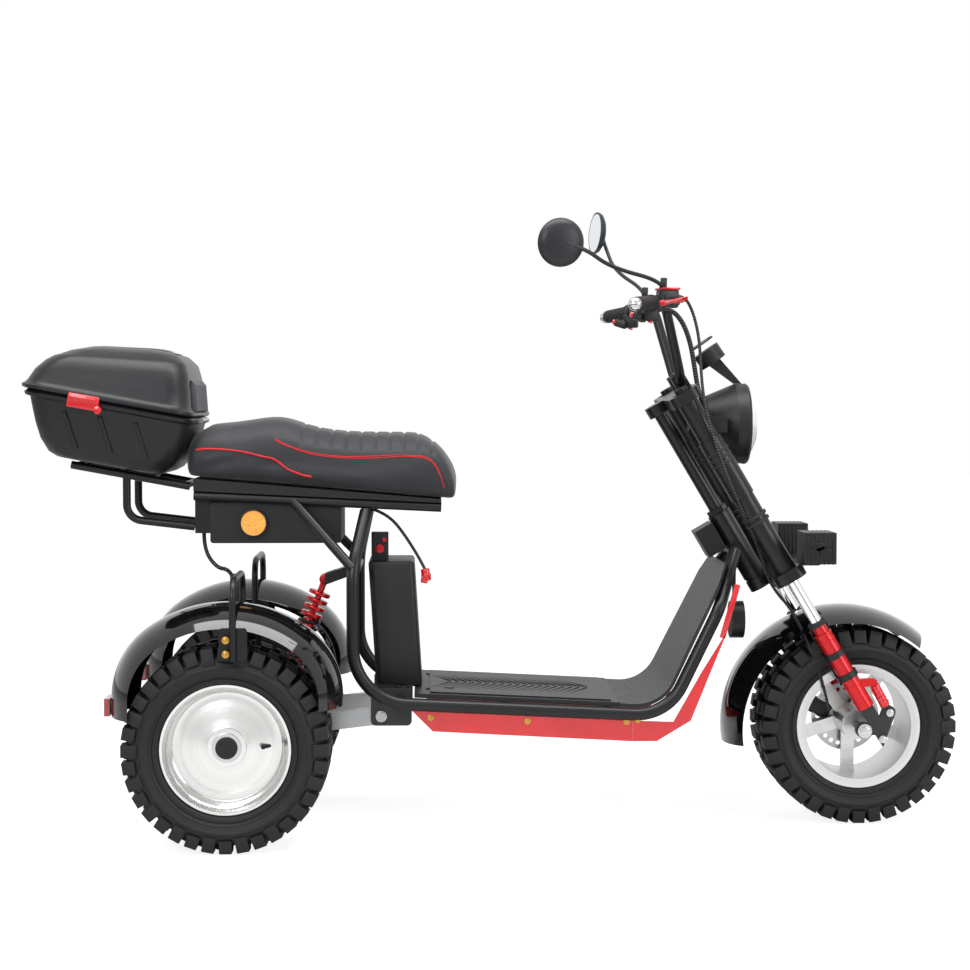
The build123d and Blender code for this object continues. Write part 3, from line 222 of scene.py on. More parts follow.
for name, body, metal, out, radius, spots in screw_rows:
    layers = [
        (radius * 1.35, 0.0015, 24, 0.0005),
        (radius, 0.002 + radius * 0.5, 6, radius * 0.16),
        (radius * 0.45, 0.0022 + radius * 0.55, 16, 0.0004),
    ]
    heads = []
    for side in (-1, 1):
        for x, z in spots:
            base = (x, side * (out - 0.0005), z)
            for reach, height, sides, edge in layers:
                heads.append(rod(base, (x, side * (out + height), z), reach, sides, edge))
    hand_over(join(heads), name, body, metal)


# Deck: a moulded board with a chevron tread and a round lock, and a ribbed riser in front of it.
# Injection-moulded black plastic, fine grained; the tread is a rubber mat's raised ridges.
moulded_black = finish_in_noise("moulded_black", ("101113", "1a1b1d"), 0.44, 0.0011, 0.0003)[0]
deck_rubber = finish_in_noise("deck_rubber", ("161719", "222326"), 0.5, 0.0014, 0.0004)[0]
dress(moulded_black, "deck_board", "seat_pan", "horn", "neck_box", "fender_clamps", "gauge")
deck_pitch, deck_slope, deck_top = 2.8, 0.0489, 0.31625
tread_from, tread_to, tread_step, tread_half = -0.118, 0.232, 0.0175, 0.135
ridge_wide, ridge_high, ridge_turn, rib_step = 0.006, 0.0022, 24, 0.018
ridges = []
for index in range(int((tread_to - tread_from) / tread_step)):
    x = tread_from + index * tread_step
    for side in (-1, 1):
        spot = (x, side * tread_half / 2, deck_top - x * deck_slope)
        turn = (0, deck_pitch, side * ridge_turn)
        ridges.append(block(spot, (ridge_wide, tread_half, ridge_high), 0.0008, turn))
ridges.append(rod((-0.096, -0.105, 0.3205), (-0.096, -0.105, 0.3225), 0.012, 32, 0.0006))
hand_over(join(ridges), "deck_tread", "frame", deck_rubber)

riser_mat, tree, surface, place = finish_in_noise("riser_mat", ("1a1b1d", "2b2c30"), 0.42, 0.0014, 0.0003)
split = add_node(tree, "ShaderNodeSeparateXYZ", {"Vector": place})
rib = add_node(tree, "ShaderNodeMath", {0: split.outputs["Y"], 1: 2 * pi / rib_step}, operation="MULTIPLY")
rib = add_node(tree, "ShaderNodeMath", {0: rib.outputs[0]}, operation="SINE")
raise_grain(tree, surface, rib.outputs[0], 0.9, 0.002)
dress(riser_mat, "riser_board")

# Side panels: folded sheet under gloss red enamel, screwed below the deck and up the riser to narrow tips.
# The enamel is wet and level, with a very slight mottle.
red_enamel, tree, surface, place = finish_in_noise("red_enamel", ("d80d18", "b80912"), 0.2, 0.004, 0.0001)
surface.inputs["Coat Weight"].default_value = 0.6
surface.inputs["Coat Roughness"].default_value = 0.06
dress(
    red_enamel, "side_panel_left", "side_panel_right", "front_panel_left", "front_panel_right",
    "link_shocks",
)

panel_tips = [
    block((0.5300, side * 0.2005, 0.5030), (0.013, 0.003, 0.124), 0.001, (0, 15.8, 0)) for side in (-1, 1)
]
hand_over(join(panel_tips), "panel_tips", "frame", red_enamel)

# Seat: a long moulded foam pad under dark leatherette, with sewn cross channels at the front.
# Cut-and-sewn cover pulled over the foam, red piping round the lower rear panel and a red double stitch.
seat_stations = [
    (-0.685, 0.876, 0.88), (-0.672, 0.906, 0.96), (-0.645, 0.914, 0.99), (-0.590, 0.916, 1.0),
    (-0.540, 0.924, 1.0), (-0.487, 0.932, 0.99), (-0.450, 0.924, 0.97), (-0.410, 0.908, 0.96),
    (-0.352, 0.898, 0.97), (-0.290, 0.895, 1.0), (-0.220, 0.895, 1.0), (-0.160, 0.894, 0.99),
    (-0.126, 0.886, 0.96), (-0.100, 0.858, 0.92), (-0.085, 0.818, 0.87), (-0.079, 0.785, 0.83),
]
seat_ring_shares = [
    (0.0, 1.0), (0.40, 0.985), (0.68, 0.93), (0.85, 0.83), (0.945, 0.70), (0.99, 0.50), (0.99, 0.28),
    (0.95, 0.08), (0.86, 0.0), (0.45, 0.0),
]
seat_half, seat_front, seat_low_front, seat_slope = 0.148, -0.112, 0.7525, 0.0887


def seat_base(x):
    return seat_low_front - (x - seat_front) * seat_slope


def face_outwards():
    bpy.ops.object.mode_set(mode="EDIT")
    bpy.ops.mesh.select_all(action="SELECT")
    bpy.ops.mesh.normals_make_consistent(inside=False)
    bpy.ops.object.mode_set(mode="OBJECT")


def lofted(name, rows, open_start=False):
    count = len(rows[0])
    faces = []
    for level in range(len(rows) - 1):
        for step in range(count):
            first, after = level * count + step, level * count + (step + 1) % count
            faces.append((first, after, after + count, first + count))
    if not open_start:
        faces.append(tuple(reversed(range(count))))
    faces.append(tuple(range((len(rows) - 1) * count, len(rows) * count)))
    mesh = bpy.data.meshes.new(name)
    mesh.from_pydata([spot for row in rows for spot in row], [], faces)
    piece = bring_in(name, mesh)
    face_outwards()
    return piece


ring = seat_ring_shares + [(0.0, 0.0)] + [(-y, z) for y, z in reversed(seat_ring_shares[1:])]
rows = []
for x, top, width in seat_stations:
    low = seat_base(x)
    rows.append([(x, y * seat_half * width, low + (top - low) * z) for y, z in ring])
seat = lofted("seat_cover", rows)
change(seat, "SUBSURF", levels=2, render_levels=2)
change(seat, "REMESH", mode="VOXEL", voxel_size=0.006)
swell_cap, held_band = 0.006, 0.012
held = seat.vertex_groups.new(name="base")
for vertex in seat.data.vertices:
    if vertex.co.z < seat_base(vertex.co.x) + held_band:
        held.add([vertex.index], 1.0, "REPLACE")
before = [vertex.co.copy() for vertex in seat.data.vertices]
swell = seat.modifiers.new("Swell", "CLOTH")
swell.settings.use_pressure = True
swell.settings.uniform_pressure_force = 4
swell.settings.effector_weights.gravity = 0
swell.settings.vertex_group_mass = "base"
swell.settings.quality = 5
for step in range(1, 21):
    bpy.context.scene.frame_set(step)
bpy.ops.object.modifier_apply(modifier="Swell")
for vertex, start in zip(seat.data.vertices, before):
    moved = vertex.co - start
    if moved.length > swell_cap:
        vertex.co = start + moved * (swell_cap / moved.length)
bpy.context.scene.frame_set(1)
change(seat, "SMOOTH", factor=0.5, iterations=6)
change(seat, "SUBSURF", levels=1, render_levels=1)
channel_from, channel_step, channel_count, channel_half = -0.424, 0.0325, 10, 0.006
channel_depth, channel_reach, channel_over = 0.0035, 0.128, 0.09
for vertex in seat.data.vertices:
    if vertex.co.z > seat_base(vertex.co.x) + channel_over and abs(vertex.co.y) < channel_reach:
        nearest = min(abs(vertex.co.x - channel_from - channel_step * i) for i in range(channel_count))
        if nearest < channel_half:
            vertex.co.z -= channel_depth * cos(nearest / channel_half * pi / 2) ** 2
leatherette, tree, surface, place = start_material("black_leatherette", "1b1c1e", 0.52)
surface.inputs["Specular IOR Level"].default_value = 0.3
pores = add_node(tree, "ShaderNodeTexVoronoi", {"Vector": place, "Scale": 1 / 0.0022})
raise_grain(tree, surface, pores.outputs["Distance"], 0.45, 0.0005)
cloud = add_node(tree, "ShaderNodeTexNoise", {"Vector": place, "Scale": 14.0, "Detail": 4.0})
vary_colour(tree, surface, cloud.outputs["Fac"], "17181a", "26272b")
surface.inputs["Sheen Weight"].default_value = 0.15
hand_over(seat, "seat_cover", "frame", leatherette, ["seat"])


def on_seat(points, side, out):
    snapped = []
    for x, z in points:
        found, spot, normal, face = seat.closest_point_on_mesh((x, side * 0.2, z))
        snapped.append(tuple(spot + normal * out))
    return snapped


red_cord = finish_in_noise("red_piping", ("d2202a", "b3141d"), 0.45, 0.001, 0.0002)[0]
piping_points = [
    (-0.676, 0.880), (-0.655, 0.881), (-0.629, 0.880), (-0.598, 0.877), (-0.567, 0.871), (-0.537, 0.864),
    (-0.507, 0.855), (-0.480, 0.844), (-0.456, 0.830), (-0.438, 0.815), (-0.420, 0.798), (-0.405, 0.785),
]
stitch_points = [
    (-0.478, 0.925), (-0.466, 0.909), (-0.450, 0.897), (-0.430, 0.886), (-0.398, 0.873), (-0.365, 0.868),
    (-0.333, 0.866), (-0.300, 0.867), (-0.270, 0.869), (-0.235, 0.874), (-0.205, 0.879), (-0.175, 0.882),
    (-0.148, 0.881), (-0.128, 0.873), (-0.112, 0.858), (-0.100, 0.832), (-0.094, 0.800), (-0.092, 0.770),
]
piping_radius, stitch_radius, stitch_gap = 0.0022, 0.0010, 0.007
trims = []
for side in (-1, 1):
    trims.append(hose(on_seat(piping_points, side, 0.0008), piping_radius))
    for drop in (0.0, stitch_gap):
        lowered = [(x, z - drop) for x, z in stitch_points]
        trims.append(hose(on_seat(lowered, side, 0.0003), stitch_radius))
hand_over(join(trims), "seat_piping", "frame", red_cord)

# Tyres: 10-inch all-terrain covers with two rows of shoulder blocks and a staggered centre row.
# Vulcanised black rubber from a steel mould: crisp blocks, rounded shoulders and ribbed sidewalls.
axle_z = 0.225
wheels = [
    ("front", (0.845, 0.0), "front_wheel"),
    ("rear_left", (-0.576, 0.275), "rear_wheel_left"),
    ("rear_right", (-0.576, -0.275), "rear_wheel_right"),
]


def spun(profile, steps, closed=True):
    mesh = bpy.data.meshes.new("profile")
    links = [(i, i + 1) for i in range(len(profile) - 1)]
    if closed:
        links.append((len(profile) - 1, 0))
    mesh.from_pydata([(radius, out, 0.0) for radius, out in profile], links, [])
    piece = bring_in("profile", mesh)
    bpy.ops.object.mode_set(mode="EDIT")
    bpy.ops.mesh.select_all(action="SELECT")
    bpy.ops.mesh.spin(steps=steps, angle=2 * pi, center=(0, 0, 0), axis=(0, 1, 0))
    bpy.ops.mesh.select_all(action="SELECT")
    bpy.ops.mesh.remove_doubles(threshold=0.00002)
    bpy.ops.mesh.normals_make_consistent(inside=False)
    bpy.ops.object.mode_set(mode="OBJECT")
    return piece


def placed(piece, *moves):
    for move in moves:
        piece.data.transform(move)
    return piece


def copied(piece, *moves):
    copy = piece.copy()
    copy.data = piece.data.copy()
    bpy.context.collection.objects.link(copy)
    return placed(copy, *moves)


def round_wheel(piece, count, start=0.0):
    steps = [Matrix.Rotation(2 * pi * index / count, 4, "Y") for index in range(1, count)]
    copies = [piece] + [copied(piece, step) for step in steps]
    return [placed(copy, Matrix.Rotation(start, 4, "Y")) for copy in copies]


block_root_half, block_top_half = 0.0150, 0.0136


def tread_block(low, high, edge):
    piece = start_piece(bpy.ops.mesh.primitive_cube_add, size=1)
    for vertex in piece.data.vertices:
        level, half = (low, block_root_half) if vertex.co.z < 0 else (high, block_top_half)
        radius, out = level[0 if vertex.co.x < 0 else 1]
        vertex.co = (radius, out, half if vertex.co.y > 0 else -half)
    face_outwards()
    change(piece, "BEVEL", width=edge, segments=2, limit_method="NONE")
    return piece


half_profile = [
    (0.137, 0.0785), (0.1424, 0.0785), (0.1440, 0.0865), (0.1470, 0.0905), (0.1500, 0.0915),
    (0.1510, 0.0945), (0.1540, 0.0950), (0.1552, 0.0930), (0.1590, 0.0955), (0.1625, 0.0990),
    (0.1640, 0.0982), (0.1700, 0.1012), (0.1760, 0.1024), (0.1772, 0.1036), (0.1795, 0.1036),
    (0.1808, 0.1020), (0.1860, 0.1002), (0.1940, 0.0962), (0.2010, 0.0890), (0.2070, 0.0780),
    (0.2110, 0.0580), (0.2130, 0.0300),
]
profile = half_profile + [(0.2138, 0.0)] + [(radius, -out) for radius, out in reversed(half_profile)]
parts = [spun(profile, 144)]
for side in (-1, 1):
    for depth, start in ((0.1865, 0.0), (0.1925, 2 * pi / 36)):
        shoulder = tread_block(
            [(depth, side * 0.0975), (0.2050, side * 0.0600)],
            [(depth + 0.001, side * 0.1022), (0.2225, side * 0.0950)], 0.0012,
        )
        crown = tread_block(
            [(0.2070, side * 0.0560), (0.2070, side * 0.0640)],
            [(0.2235, side * 0.0560), (0.2215, side * 0.0930)], 0.0012,
        )
        parts += round_wheel(shoulder, 18, start) + round_wheel(crown, 18, start)
    middle = tread_block(
        [(0.2090, side * 0.0040), (0.2090, side * 0.0460)],
        [(0.2245, side * 0.0060), (0.2240, side * 0.0440)], 0.0014,
    )
    parts += round_wheel(middle, 30, side * pi / 60)
tyre = join(parts)
tyre_rubber, tree, surface, place = finish_in_noise("tyre_rubber", ("111111", "1d1d1d"), 0.6, 0.0022, 0.0006)
for name, (x, y), body in wheels:
    cover = copied(tyre, Matrix.Translation((x, y, axle_z)))
    node = "front_tyre" if name == "front" else "rear_tyre_" + name[5:]
    hand_over(cover, name + "_cover", body, tyre_rubber, [node])
bpy.data.objects.remove(tyre)


# Rims: the rear ones are dished aluminium discs turned on a lathe, the front one is cast with five spokes.
# Bright machined aluminium with fine turning marks round the axle.
def turned_metal(name, centre, colours, roughness):
    material, tree, surface, place = start_material(name, colours[0], roughness, 1.0)
    moved = add_node(
        tree, "ShaderNodeVectorMath", {0: place, 1: (centre[0], 0.0, centre[1])}, operation="SUBTRACT"
    )
    flat = add_node(tree, "ShaderNodeVectorMath", {0: moved.outputs[0], 1: (1, 0, 1)}, operation="MULTIPLY")
    reach = add_node(tree, "ShaderNodeVectorMath", {0: flat.outputs[0]}, operation="LENGTH")
    marks = add_node(
        tree, "ShaderNodeTexNoise", {"W": reach.outputs["Value"], "Scale": 900.0, "Detail": 2.0},
        noise_dimensions="1D",
    )
    raise_grain(tree, surface, marks.outputs["Fac"], 0.35, 0.0004)
    bands = add_node(
        tree, "ShaderNodeTexNoise", {"W": reach.outputs["Value"], "Scale": 60.0, "Detail": 3.0},
        noise_dimensions="1D",
    )
    vary_colour(tree, surface, bands.outputs["Fac"], *colours)
    return material


rim_profile = [
    (0.0, 0.0540), (0.0300, 0.0540), (0.0420, 0.0535), (0.0430, 0.0500), (0.0460, 0.0490),
    (0.0700, 0.0460), (0.1000, 0.0405), (0.1130, 0.0375), (0.1180, 0.0390), (0.1215, 0.0440),
    (0.1235, 0.0600), (0.1250, 0.0700), (0.1290, 0.0740), (0.1320, 0.0800), (0.1350, 0.0845),
    (0.1405, 0.0850), (0.1420, 0.0835), (0.1420, 0.0795), (0.1365, 0.0785), (0.1360, -0.0785),
    (0.1420, -0.0795), (0.1420, -0.0850), (0.1350, -0.0848), (0.1310, -0.0780), (0.1210, -0.0700),
    (0.1180, 0.0200), (0.1150, 0.0310), (0.0800, 0.0340), (0.0340, 0.0360), (0.0340, -0.0100),
    (0.0, -0.0100),
]
rim = spun(rim_profile, 128, closed=False)
for name, (x, y), body in wheels[1:]:
    side = 1 if y > 0 else -1
    facing = Matrix.Rotation(0 if side > 0 else pi, 4, "Z")
    axle = Matrix.Translation((x, y, axle_z))
    metal = turned_metal("turned_alloy_" + name, (x, axle_z), ("e4e4e2", "c9cac9"), 0.24)
    dish = copied(rim, facing, axle)
    hand_over(dish, name + "_rim", body, metal, ["rear_rim_" + name[5:]])
    dress(moulded_black, "hub_cap_" + name[5:])
    foot, collar, tip = [
        (x + reach, y + side * out, axle_z + 0.002)
        for reach, out in ((0.092, 0.040), (0.080, 0.058), (0.0775, 0.062))
    ]
    stem = join([rod(foot, collar, 0.0038, 16, 0.0006), rod(collar, tip, 0.0048, 16, 0.001)])
    hand_over(stem, name + "_valve", body, tyre_rubber)
    ring_face = spun([(0.024, 0.0540), (0.024, 0.0575), (0.031, 0.0575), (0.032, 0.0540)], 64)
    placed(ring_face, axle @ facing)
    hand_over(ring_face, name + "_hub_ring", body, zinc)
bpy.data.objects.remove(rim)
cast_silver = turned_metal("cast_silver", (0.845, axle_z), ("dadad8", "bfc0c0"), 0.3)
dress(cast_silver, "front_rim")
disc_steel = turned_metal("ground_disc_steel", (0.845, axle_z), ("c4c5c6", "9fa1a3"), 0.28)
dress(disc_steel, "brake_disc")

# Fenders: steel pressings over the wheels, under deep gloss black.
# Stoved enamel, level and wet, so the soft boxes show in it as clean bands.
gloss_black, tree, surface, place = finish_in_noise("gloss_black", ("050506", "0b0b0d"), 0.1, 0.006, 0.00006)
surface.inputs["Specular IOR Level"].default_value = 0.15
surface.inputs["Coat Weight"].default_value = 0.85
surface.inputs["Coat Roughness"].default_value = 0.03
dress(gloss_black, "rear_fender_left", "rear_fender_right", "front_fender")

# Swingarm, pivot plates and fork legs: castings and tubes, each with the finish of its own metal.
# The arms are silver where machined, plates and links grey, the stanchions chromed, the lowers anodised red.
arm_silver = finish_in_noise("silver_casting", ("b9babb", "8f9193"), 0.38, 0.002, 0.0003, metallic=0.9)[0]
dress(arm_silver, "swingarm", "box_hinge")
cast_grey = finish_in_noise("grey_casting", ("232426", "343538"), 0.42, 0.002, 0.0003)[0]
dress(cast_grey, "fork_links", "pivot_plates")
chrome = finish_in_noise("chrome_tube", ("e8e9ea", "d8d9db"), 0.08, 0.004, 0.00004, metallic=1.0)[0]
dress(chrome, "fork_stanchions")
red_anodised = finish_in_noise(
    "red_anodised", ("d4121c", "b00c14"), 0.24, 0.0015, 0.0001, metallic=0.35
)[0]
dress(red_anodised, "fork_lowers")

# Rear shock: a steel damper with anodised collars inside a wound black spring.
# The spring is cold-drawn wire in six and a half turns, the collars are turned aluminium.
shock_top, shock_low = Vector((-0.380, 0, 0.560)), Vector((-0.468, 0, 0.330))
run = shock_low - shock_top
across = Vector((0, 1, 0))
points_per_turn = 12


def wound(top, run, start, share, turns, radius, wire):
    sideways = run.normalized().cross(across)
    steps = int(turns * points_per_turn)
    helix = []
    for step in range(steps + 1):
        angle = 2 * pi * step / points_per_turn
        spot = top + run * (start + share * step / steps)
        helix.append(tuple(spot + (across * cos(angle) + sideways * sin(angle)) * radius))
    return hose(helix, wire)


shock_parts = [
    rod(shock_top - across * 0.014, shock_top + across * 0.014, 0.013, 32, 0.0015),
    rod(shock_low - across * 0.014, shock_low + across * 0.014, 0.013, 32, 0.0015),
    rod(shock_top, shock_low, 0.0075),
    rod(shock_top + run * 0.40, shock_low, 0.015, 32, 0.001),
]
for share in (0.13, 0.20, 0.27, 0.34):
    shock_parts.append(rod(shock_top + run * share, shock_top + run * (share + 0.035), 0.0255, 40, 0.0015))
shock_parts.append(rod(shock_top + run * 0.84, shock_top + run * 0.87, 0.0255, 40, 0.0015))
hand_over(join(shock_parts), "shock_body", "frame", red_anodised, ["rear_shock"])
spring = wound(shock_top, run, 0.39, 0.45, 6.5, 0.0225, 0.0045)
hand_over(spring, "shock_spring", "frame", powder_black)

# Battery and controller boxes: moulded black housings under the seat, with the battery's lock above it.
# The battery's case is a round-edged copy of its plain shell; other small housings share its finish.
battery_case = hold(copied(nodes["battery_box"]))
bpy.ops.object.mode_set(mode="EDIT")
bpy.ops.mesh.select_all(action="SELECT")
bpy.ops.mesh.remove_doubles(threshold=0.00005)
bpy.ops.mesh.dissolve_limited(angle_limit=radians(2))
bpy.ops.object.mode_set(mode="OBJECT")
change(battery_case, "BEVEL", width=0.006, segments=3, limit_method="ANGLE", angle_limit=radians(25))
hand_over(battery_case, "battery_case", "frame", moulded_black, ["battery_box"])
dress(moulded_black, "controller_box", "battery_lock", "headlight_housing", "aux_lamp_left", "aux_lamp_right")

# Handlebar fittings: ribbed grips, bar-end balls, brake masters with red levers and switch blocks.
# Moulded rubber on chromed steel ends; the masters are cast alloy with red anodised caps and blades.
grip_rubber = finish_in_noise("grip_rubber", ("1b1b1d", "29292c"), 0.62, 0.0012, 0.0004)[0]
bar_corner, bar_end = Vector((0.392, 0.112, 1.192)), Vector((0.300, 0.350, 1.178))
blade_points = [
    (0.160, 0.058, 0.008), (0.132, 0.070, 0.008), (0.090, 0.062, 0.005), (0.040, 0.056, 0.003),
    (0.006, 0.058, 0.002),
]
adjuster_points = [(0.163, 0.058, 0.010), (0.134, 0.078, 0.011), (0.120, 0.082, 0.012)]


def on_bar(side, reach, ahead=0.0, up=0.0):
    outer, inner = [Vector((spot.x, side * spot.y, spot.z)) for spot in (bar_end, bar_corner)]
    return outer - (outer - inner).normalized() * reach + Vector((ahead, 0, up))


def ball(centre, radius, sides):
    return start_piece(
        bpy.ops.mesh.primitive_uv_sphere_add, radius=radius, segments=sides, ring_count=sides // 2,
        location=centre,
    )


for hand, side in (("right", -1), ("left", 1)):
    collars = [
        rod(on_bar(side, 0.012), on_bar(side, 0.132), 0.0148, 40, 0.001),
        rod(on_bar(side, 0.128), on_bar(side, 0.134), 0.0195, 40, 0.0015),
    ]
    for index in range(15):
        start = 0.016 + index * 0.0074
        collars.append(rod(on_bar(side, start), on_bar(side, start + 0.0046), 0.0160, 40, 0.0010))
    hand_over(join(collars), "grip_cover_" + hand, "steering", grip_rubber, ["grip_" + hand])
    end_parts = [
        ball(on_bar(side, 0.0), 0.0150, 40),
        rod(on_bar(side, 0.002), on_bar(side, 0.013), 0.0118, 32, 0.001),
    ]
    hand_over(join(end_parts), "bar_end_" + hand, "steering", chrome)
    master = [
        rod(on_bar(side, 0.160), on_bar(side, 0.182), 0.0178, 36, 0.0015),
        block(on_bar(side, 0.171, 0.030, 0.004), (0.040, 0.026, 0.024), 0.004, (0, 10, side * -21)),
        block(on_bar(side, 0.176, 0.026, 0.018), (0.036, 0.046, 0.022), 0.004, (0, 0, side * -21)),
        rod(on_bar(side, 0.150, 0.052, 0.002), on_bar(side, 0.196, 0.040, 0.002), 0.0085, 28, 0.001),
    ]
    hand_over(join(master), "brake_master_" + hand, "steering", cast_grey)
    cap = [
        block(on_bar(side, 0.176, 0.026, 0.031), (0.039, 0.049, 0.005), 0.0016, (0, 0, side * -21)),
        block(on_bar(side, 0.150, 0.056, 0.006), (0.026, 0.020, 0.012), 0.003, (0, -12, side * -14)),
        hose([on_bar(side, *spot) for spot in blade_points], 0.0048),
        hose([on_bar(side, *spot) for spot in adjuster_points], 0.0034),
        ball(on_bar(side, 0.004, 0.058, 0.002), 0.0072, 24),
    ]
    hand_over(join(cap), "brake_lever_" + hand, "steering", red_anodised)
    switch = [
        rod(on_bar(side, 0.136), on_bar(side, 0.156), 0.0185, 36, 0.002),
        block(on_bar(side, 0.146, -0.004, -0.022), (0.034, 0.024, 0.034), 0.005, (0, 0, side * -21)),
        block(on_bar(side, 0.150, -0.030, -0.030), (0.030, 0.022, 0.018), 0.004, (0, 18, side * -21)),
    ]
    hand_over(join(switch), "switch_block_" + hand, "steering", moulded_black)
    buttons = [
        rod(on_bar(side, 0.150, -0.043, -0.026), on_bar(side, 0.150, -0.050, -0.024), 0.0060, 24, 0.001),
        rod(on_bar(side, 0.146, -0.004, -0.038), on_bar(side, 0.146, -0.006, -0.043), 0.0055, 24, 0.001),
    ]
    hand_over(join(buttons), "switch_button_" + hand, "steering", red_enamel)

# Mirrors: round black backs on bent stalks, each with a silvered glass and a boot where it meets the bar.
# Moulded shells with a slightly domed back; the right one is folded inwards, the left one faces the rear.
mirror_black = finish_in_noise("mirror_shell", ("1a1b1d", "26272a"), 0.4, 0.0014, 0.0002)[0]
silvered = finish_in_noise("silvered_glass", ("e6eaec", "dfe3e6"), 0.03, 0.006, 0.00002, metallic=1.0)[0]
back_profile = [
    (0.0, -0.0120), (0.0220, -0.0112), (0.0380, -0.0080), (0.0480, -0.0020), (0.0515, 0.0040),
    (0.0520, 0.0090), (0.0490, 0.0100), (0.0480, 0.0080), (0.0, 0.0080),
]
glass_profile = [(0.0, 0.0094), (0.0470, 0.0094), (0.0478, 0.0088), (0.0478, 0.0070), (0.0, 0.0070)]
boot_rise, stalk_radius = Vector((0.002, 0, 0.022)), 0.0045
mirror_places = [
    ("right", -1, (0.142, -0.380, 1.306), (-0.3, 0.93, 0.1), (0.190, -0.372, 1.296), (0.250, -0.312, 1.258)),
    ("left", 1, (0.2836, 0.382, 1.388), (-0.96, -0.22, 0.08), (0.300, 0.366, 1.352), (0.318, 0.312, 1.290)),
]
for hand, side, middle, facing, high_bend, low_bend in mirror_places:
    foot = on_bar(side, 0.171, 0.018, 0.026)
    facing = Vector(facing).normalized()
    turn = Vector((0, 1, 0)).rotation_difference(facing).to_matrix().to_4x4()
    shell, glass = [
        placed(spun(profile, 72, closed=False), Matrix.Translation(middle) @ turn)
        for profile in (back_profile, glass_profile)
    ]
    stalk_points = [foot, foot + boot_rise, low_bend, high_bend, Vector(middle) - facing * 0.008]
    stalk = hose(stalk_points, stalk_radius)
    boot = [
        rod(foot - Vector((0, 0, 0.006)), foot + Vector((0, 0, 0.010)), 0.0095, 28, 0.001),
        rod(foot + Vector((0, 0, 0.009)), foot + Vector((0.001, 0, 0.030)), 0.0075, 28, 0.002),
    ]
    hand_over(
        join([shell, stalk] + boot), "mirror_shell_" + hand, "steering", mirror_black,
        ["mirror_" + hand],
    )
    hand_over(glass, "mirror_glass_" + hand, "steering", silvered)

# Headlight: a black rim round a pale domed lens, on its housing.
# Moulded glass with fine concentric rings that spread the beam.
lens_glass, tree, surface, place = start_material("lens_glass", "dfe4e8", 0.06, 0.0)
surface.inputs["Coat Weight"].default_value = 1.0
lamp_middle = (0.584, 0, 0.918)
moved = add_node(tree, "ShaderNodeVectorMath", {0: place, 1: lamp_middle}, operation="SUBTRACT")
flat = add_node(tree, "ShaderNodeVectorMath", {0: moved.outputs[0], 1: (0, 1, 1)}, operation="MULTIPLY")
reach = add_node(tree, "ShaderNodeVectorMath", {0: flat.outputs[0]}, operation="LENGTH")
rings = add_node(tree, "ShaderNodeMath", {0: reach.outputs["Value"], 1: 520.0}, operation="MULTIPLY")
rings = add_node(tree, "ShaderNodeMath", {0: rings.outputs[0]}, operation="SINE")
raise_grain(tree, surface, rings.outputs[0], 0.5, 0.0012)
dress(lens_glass, "headlight_lens")
faced_ahead = Matrix.Rotation(-pi / 2, 4, "Z")
rim_edge = [(0.0815, 0.0), (0.0925, 0.0), (0.0935, 0.008), (0.0900, 0.013), (0.0830, 0.013), (0.0810, 0.008)]
lamp_rim = placed(spun(rim_edge, 96), Matrix.Translation((0.5835, 0, 0.918)) @ faced_ahead)
hand_over(lamp_rim, "headlight_rim", "steering", moulded_black)
dome_edge = [(0.0, 0.0240), (0.0240, 0.0225), (0.0460, 0.0175), (0.0640, 0.0095), (0.0780, 0.0), (0.0, 0.0)]
dome = placed(spun(dome_edge, 96, closed=False), Matrix.Translation((0.5965, 0, 0.918)) @ faced_ahead)
hand_over(dome, "headlight_dome", "steering", lens_glass)

# Gauge: a round dial under a bezel on its wedge, tipped towards the rider.
# A pale printed face with plain ticks under clear plastic.
dial_face = finish_in_noise("dial_face", ("cfd4d8", "e3e7ea"), 0.12, 0.004, 0.00005)[0]
dial_up = Vector((-sin(radians(35)), 0, cos(radians(35))))
dial_middle = Vector((0.500, 0, 1.088))
dial = rod(dial_middle + dial_up * 0.0172, dial_middle + dial_up * 0.0182, 0.0270, 48, 0.0003)
hand_over(dial, "gauge_face", "steering", dial_face)
bezel = spun([(0.0270, 0.0), (0.0318, 0.0), (0.0316, 0.0025), (0.0300, 0.0040), (0.0275, 0.0030)], 64)
bezel.data.transform(
    Matrix.Translation(dial_middle + dial_up * 0.0160)
    @ Vector((0, 1, 0)).rotation_difference(dial_up).to_matrix().to_4x4()
)
hand_over(bezel, "gauge_bezel", "steering", moulded_black)
ticks = []
side_way = Vector((0, 1, 0))
up_way = dial_up.cross(side_way)
for index in range(13):
    angle = radians(-130 + index * 260 / 12)
    way = side_way * sin(angle) + up_way * -cos(angle)
    foot = dial_middle + dial_up * 0.0185
    ticks.append(rod(foot + way * 0.0205, foot + way * 0.0245, 0.0005, 8))
hand_over(join(ticks), "gauge_ticks", "steering", moulded_black)

